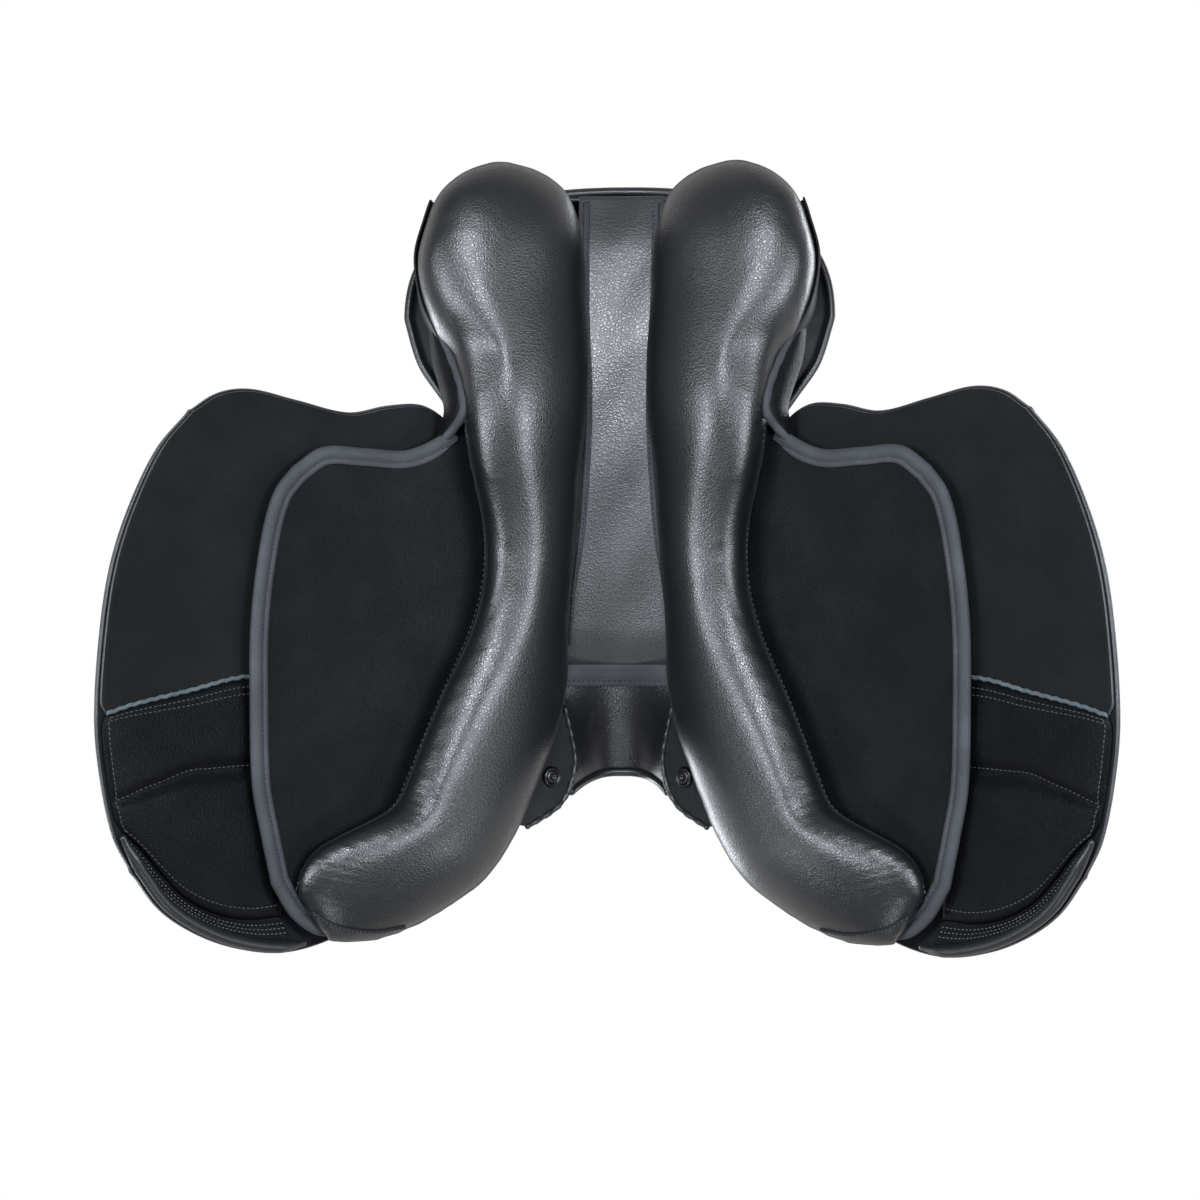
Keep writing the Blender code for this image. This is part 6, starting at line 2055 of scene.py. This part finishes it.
@dataclass
class PointPockets:
    """The pockets beside the arch that hold the points of the tree, with their screws."""

    inner: tuple = ((0.0420, -0.087), (0.0370, -0.110), (0.0345, -0.129), (0.0385, -0.150), (0.0480, -0.165),
                    (0.0700, -0.1790))
    outer: tuple = ((0.0480, -0.089), (0.0560, -0.110), (0.0640, -0.129), (0.0730, -0.150), (0.0790, -0.163),
                    (0.0840, -0.175))
    top: tuple[float, float] = (0.0355, 0.0590)
    slope: float = math.radians(40)
    thick: float = 0.0022
    pucker: float = 0.0005
    edge_radius: float = 0.0022
    screw: tuple[float, float] = (0.0535, -0.1405)
    washer_radius: float = 0.0085
    washer_height: float = 0.0030
    head_radius: float = 0.0052

    def at(self, places: Array, off: Array | float = 0.0) -> Array:
        """World points on the pocket's slope.

        Args:
            places: (x, y) places.
            off: heights above its lower face.

        Returns:
            World points.
        """
        x, y = places[..., 0], places[..., 1]
        z = self.top[1] - (x - self.top[0]) * math.tan(self.slope)
        return np.stack([x + off * math.sin(self.slope), y, z + off * math.cos(self.slope)], axis=-1)

    def build(self) -> None:
        """Makes both pockets."""
        for side in Side:
            self.build_pocket(side)
            self.build_screw(side)

    def build_pocket(self, side: Side) -> None:
        """The leather of a pocket, with its puckered bound edge.

        Args:
            side: which side.
        """
        inner, outer = even(smooth_path(self.inner), 64), even(smooth_path(self.outer), 64)
        across = np.linspace(0, 1, 16)[:, None, None]
        places = blend(inner[None], outer[None], across)
        along_edge = np.arange(64)[None]
        pucker = self.pucker * np.sin(along_edge * 0.9) * np.exp(-across[..., 0] * 6)
        lower, upper = self.at(places, pucker - 0.0002), self.at(places, self.thick)
        mesh = slab("point_pocket_cover", lower, upper, 0.3, side)
        put(mesh, "binding_leather", POCKET_LEATHER, "point_pocket", side=side)
        path = self.at(inner + np.array([0.0008, 0.0]), 0.0)
        turn = np.arange(64)
        radius = self.edge_radius + 0.0003 * np.sin(turn * 1.1) + 0.00015 * np.sin(turn * 2.7)
        put(tube("pocket_edge", path, radius, 14, side), "binding_leather", ROLL_LEATHER)

    def build_screw(self, side: Side) -> None:
        """A cup washer and the domed socket screw in it.

        Args:
            side: which side.
        """
        r, h, head = self.washer_radius, self.washer_height, self.head_radius
        washer = ((0.0023, 0.0), (r, 0.0), (r, 0.0006), (r * 0.97, 0.0011), (r * 0.90, h * 0.72),
                  (r * 0.84, h * 0.92), (r * 0.78, h), (head + 0.0012, h * 0.97), (head + 0.0007, h * 0.85),
                  (head * 0.9, h * 0.60), (0.0023, 0.0012))
        bolt = ((0.0, h * 0.42), (head * 0.30, h * 0.42), (head * 0.40, h * 0.48), (head * 0.43, h * 0.92),
                (head * 0.50, h * 0.99), (head * 0.72, h * 0.97), (head * 0.92, h * 0.88), (head, h * 0.80),
                (head * 0.97, h * 0.70), (0.0019, 0.0017), (0.0019, -0.0075), (0.0, -0.0075))
        for name, outline, node in (("cup_ring", washer, "cup_washer"),
                                    ("socket_screw", bolt, "pocket_screw")):
            mesh = self.turned(name, outline, side)
            put(mesh, "dark_nickel", DARK_NICKEL, node, side=side)

    def turned(self, name: str, outline: tuple, side: Side) -> bpy.types.Mesh:
        """An outline turned round the screw's axis.

        Args:
            name: the mesh's name without its side.
            outline: (radius, height) pairs.
            side: which side.

        Returns:
            The mesh.
        """
        down = np.array([-math.sin(self.slope), 0.0, -math.cos(self.slope)])
        spot = self.at(np.array(self.screw)) + down * TOUCH
        across = unit(np.cross(down, np.array([0.0, 1.0, 0.0])))
        other = np.cross(down, across)
        angles = np.linspace(0, 2 * math.pi, 40, endpoint=False)
        ring = np.cos(angles)[:, None] * across + np.sin(angles)[:, None] * other
        rings = np.array([spot + down * h + ring * max(r, 1e-5) for r, h in outline])
        if outline[0][0] == 0.0:
            return loft(name, rings, side)
        name, rings = sided(side, name, rings)
        count, size = rings.shape[:2]
        faces = grid_faces(count + 1, size, wrap=True) % (count * size)
        return make_mesh(name, rings.reshape(-1, 3), list(faces))


@dataclass
class InnerWorks:
    """The pieces of the frame that keep their own shape and get their finishes here."""

    finishes: tuple = (
        ("tree_frame", LAMINATE), ("head_plate", STEEL), ("tree_spring", STEEL), ("stirrup_bar", STEEL),
        ("bar_catch", STEEL), ("catch_pin", STEEL), ("girth_web", WEBBING), ("seat_webbing", WEBBING),
        ("billet", BILLET_LEATHER),
    )

    def build(self) -> None:
        """Gives every frame piece that is still shown its finish."""
        for name, node in sorted(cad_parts.items()):
            if node.hide_render:
                continue
            finish = next((f for start, f in self.finishes if name.startswith(start)), None)
            if finish is None:
                LOG.warning("%s keeps its plain finish", name)
                continue
            for slot in node.material_slots:
                slot.material = finish.material()
            LOG.info("%s: %s", name, finish.name)


@dataclass
class Studio:
    """Camera, lamps, floor and background; a lamp has a name, a place, a power and two sides."""

    distance: float = 2.4
    clip: tuple[float, float] = (0.01, 1000.0)
    half_height: float = 0.468
    lean: float = 75 * PIXEL
    shift: float = 15 * PIXEL
    lamps: tuple = (
        ("lamp_left", (1.60, 0.24, -1.90), 19.0, (0.55, 1.2)),
        ("lamp_right", (-1.60, 0.24, -1.90), 19.0, (0.55, 1.2)),
        ("lamp_rear", (0.0, 1.15, -2.20), 17.0, (0.5, 0.40)),
        ("lamp_side_left", (2.2, -1.00, -0.90), 4.0, (0.5, 0.6)),
        ("lamp_side_right", (-2.2, -1.00, -0.90), 4.0, (0.5, 0.6)),
        ("lamp_front", (0.0, -1.9, -1.35), 3.0, (0.25, 0.7)),
        ("lamp_above_left", (1.5, -0.6, 1.9), 15.0, (1.2, 1.2)),
        ("lamp_above_right", (-1.5, 0.6, 1.9), 15.0, (1.2, 1.2)),
    )
    lamp_color: Color = (0.88, 0.93, 1.0)
    lamp_spread: float = math.radians(110)
    lamp_aim: tuple[float, float, float] = (0, 0, 0.03)
    floor_z: float = -2.65
    floor_half: float = 150.0
    floor_glow: float = 0.18
    ambient: float = 0.06

    def build(self) -> None:
        """Sets the stage."""
        self.place_camera()
        for name, spot, power, size in self.lamps:
            self.place_lamp(name, spot, power, size)
        self.place_floor()
        self.set_background()
        bpy.context.scene.view_settings.view_transform = "Standard"

    def place_camera(self) -> None:
        """The camera looks up at the underside, with the cantle at the top of the picture."""
        data = bpy.data.cameras.new("camera")
        data.angle = 2 * math.atan(self.half_height / self.distance)
        data.clip_start, data.clip_end = self.clip
        camera = bpy.data.objects.new("camera", data)
        tilt = math.atan(self.lean)
        target = Vector((self.shift, 0, 0))
        camera.location = target + Vector((-math.sin(tilt), 0, -math.cos(tilt))) * self.distance
        back = (camera.location - target).normalized()
        up = Vector((0, 1, 0))
        camera.rotation_euler = Matrix((up.cross(back).normalized(), up, back)).transposed().to_euler()
        bpy.context.scene.collection.objects.link(camera)
        bpy.context.scene.camera = camera

    def place_lamp(self, name: str, spot: tuple, power: float, size: tuple[float, float]) -> None:
        """A soft lamp aimed at the saddle.

        Args:
            name: the lamp's name.
            spot: where it stands.
            power: in watts.
            size: its sides.
        """
        data = bpy.data.lights.new(name, "AREA")
        data.shape = "RECTANGLE"
        data.size, data.size_y = size
        data.energy = power
        data.color = self.lamp_color
        data.spread = self.lamp_spread
        lamp = bpy.data.objects.new(name, data)
        lamp.location = spot
        ahead = Vector(self.lamp_aim) - Vector(spot)
        lamp.rotation_euler = ahead.to_track_quat("-Z", "Y").to_euler()
        lamp.visible_camera = False
        bpy.context.scene.collection.objects.link(lamp)

    def place_floor(self) -> None:
        """A plain pale floor, well below the camera."""
        points = np.array([(x * self.floor_half, y * self.floor_half, self.floor_z)
                           for x, y in ((-1, -1), (1, -1), (1, 1), (-1, 1))])
        mesh = make_mesh("floor", points, [(0, 1, 2, 3)])
        floor = bpy.data.objects.new("floor", mesh)
        bpy.context.scene.collection.objects.link(floor)
        graph = Graph("finish_floor")
        tone = graph.noise(graph.places(), 0.8, 2.0)
        seen = graph.node("LightPath", {}, {}, "Is Camera Ray")
        for ray in ("Is Glossy Ray", "Is Transmission Ray"):
            seen = graph.math("MAXIMUM", seen, graph.node("LightPath", {}, {}, ray))
        mesh.materials.append(graph.dress(
            Base_Color=graph.mix(tone, (0.68, 0.68, 0.68), (0.72, 0.72, 0.72)),
            Roughness=0.9,
            Specular_IOR_Level=0.1,
            Emission_Strength=self.floor_glow,
            Emission_Color=graph.mix(seen, (0.0, 0.0, 0.0), (1.0, 1.0, 1.0)),
        ))

    def set_background(self) -> None:
        """White where the camera or a reflection sees it, and plain soft light elsewhere."""
        world = bpy.data.worlds.new("studio")
        world.use_nodes = True
        tree = world.node_tree
        background = tree.nodes["Background"]
        path = tree.nodes.new("ShaderNodeLightPath")
        most = path.outputs["Is Camera Ray"]
        for name in ("Is Glossy Ray", "Is Transmission Ray"):
            larger = tree.nodes.new("ShaderNodeMath")
            larger.operation = "MAXIMUM"
            tree.links.new(most, larger.inputs[0])
            tree.links.new(path.outputs[name], larger.inputs[1])
            most = larger.outputs[0]
        strength = tree.nodes.new("ShaderNodeMapRange")
        strength.inputs["To Min"].default_value = self.ambient
        tree.links.new(most, strength.inputs["Value"])
        tree.links.new(strength.outputs[0], background.inputs["Strength"])
        background.inputs["Color"].default_value = (1.0, 1.0, 1.0, 1.0)
        bpy.context.scene.world = world


def main() -> None:
    """Builds every sub-assembly in order."""
    logging.basicConfig(level=logging.INFO, format="%(message)s")
    for assembly in (Panels(), SweatFlaps(), OuterFlaps(), Skirts(), Seat(), Gullet(), PointPockets(),
                     InnerWorks(), Studio()):
        LOG.info("building %s", type(assembly).__name__)
        assembly.build()


if __name__ == "__main__":
    main()
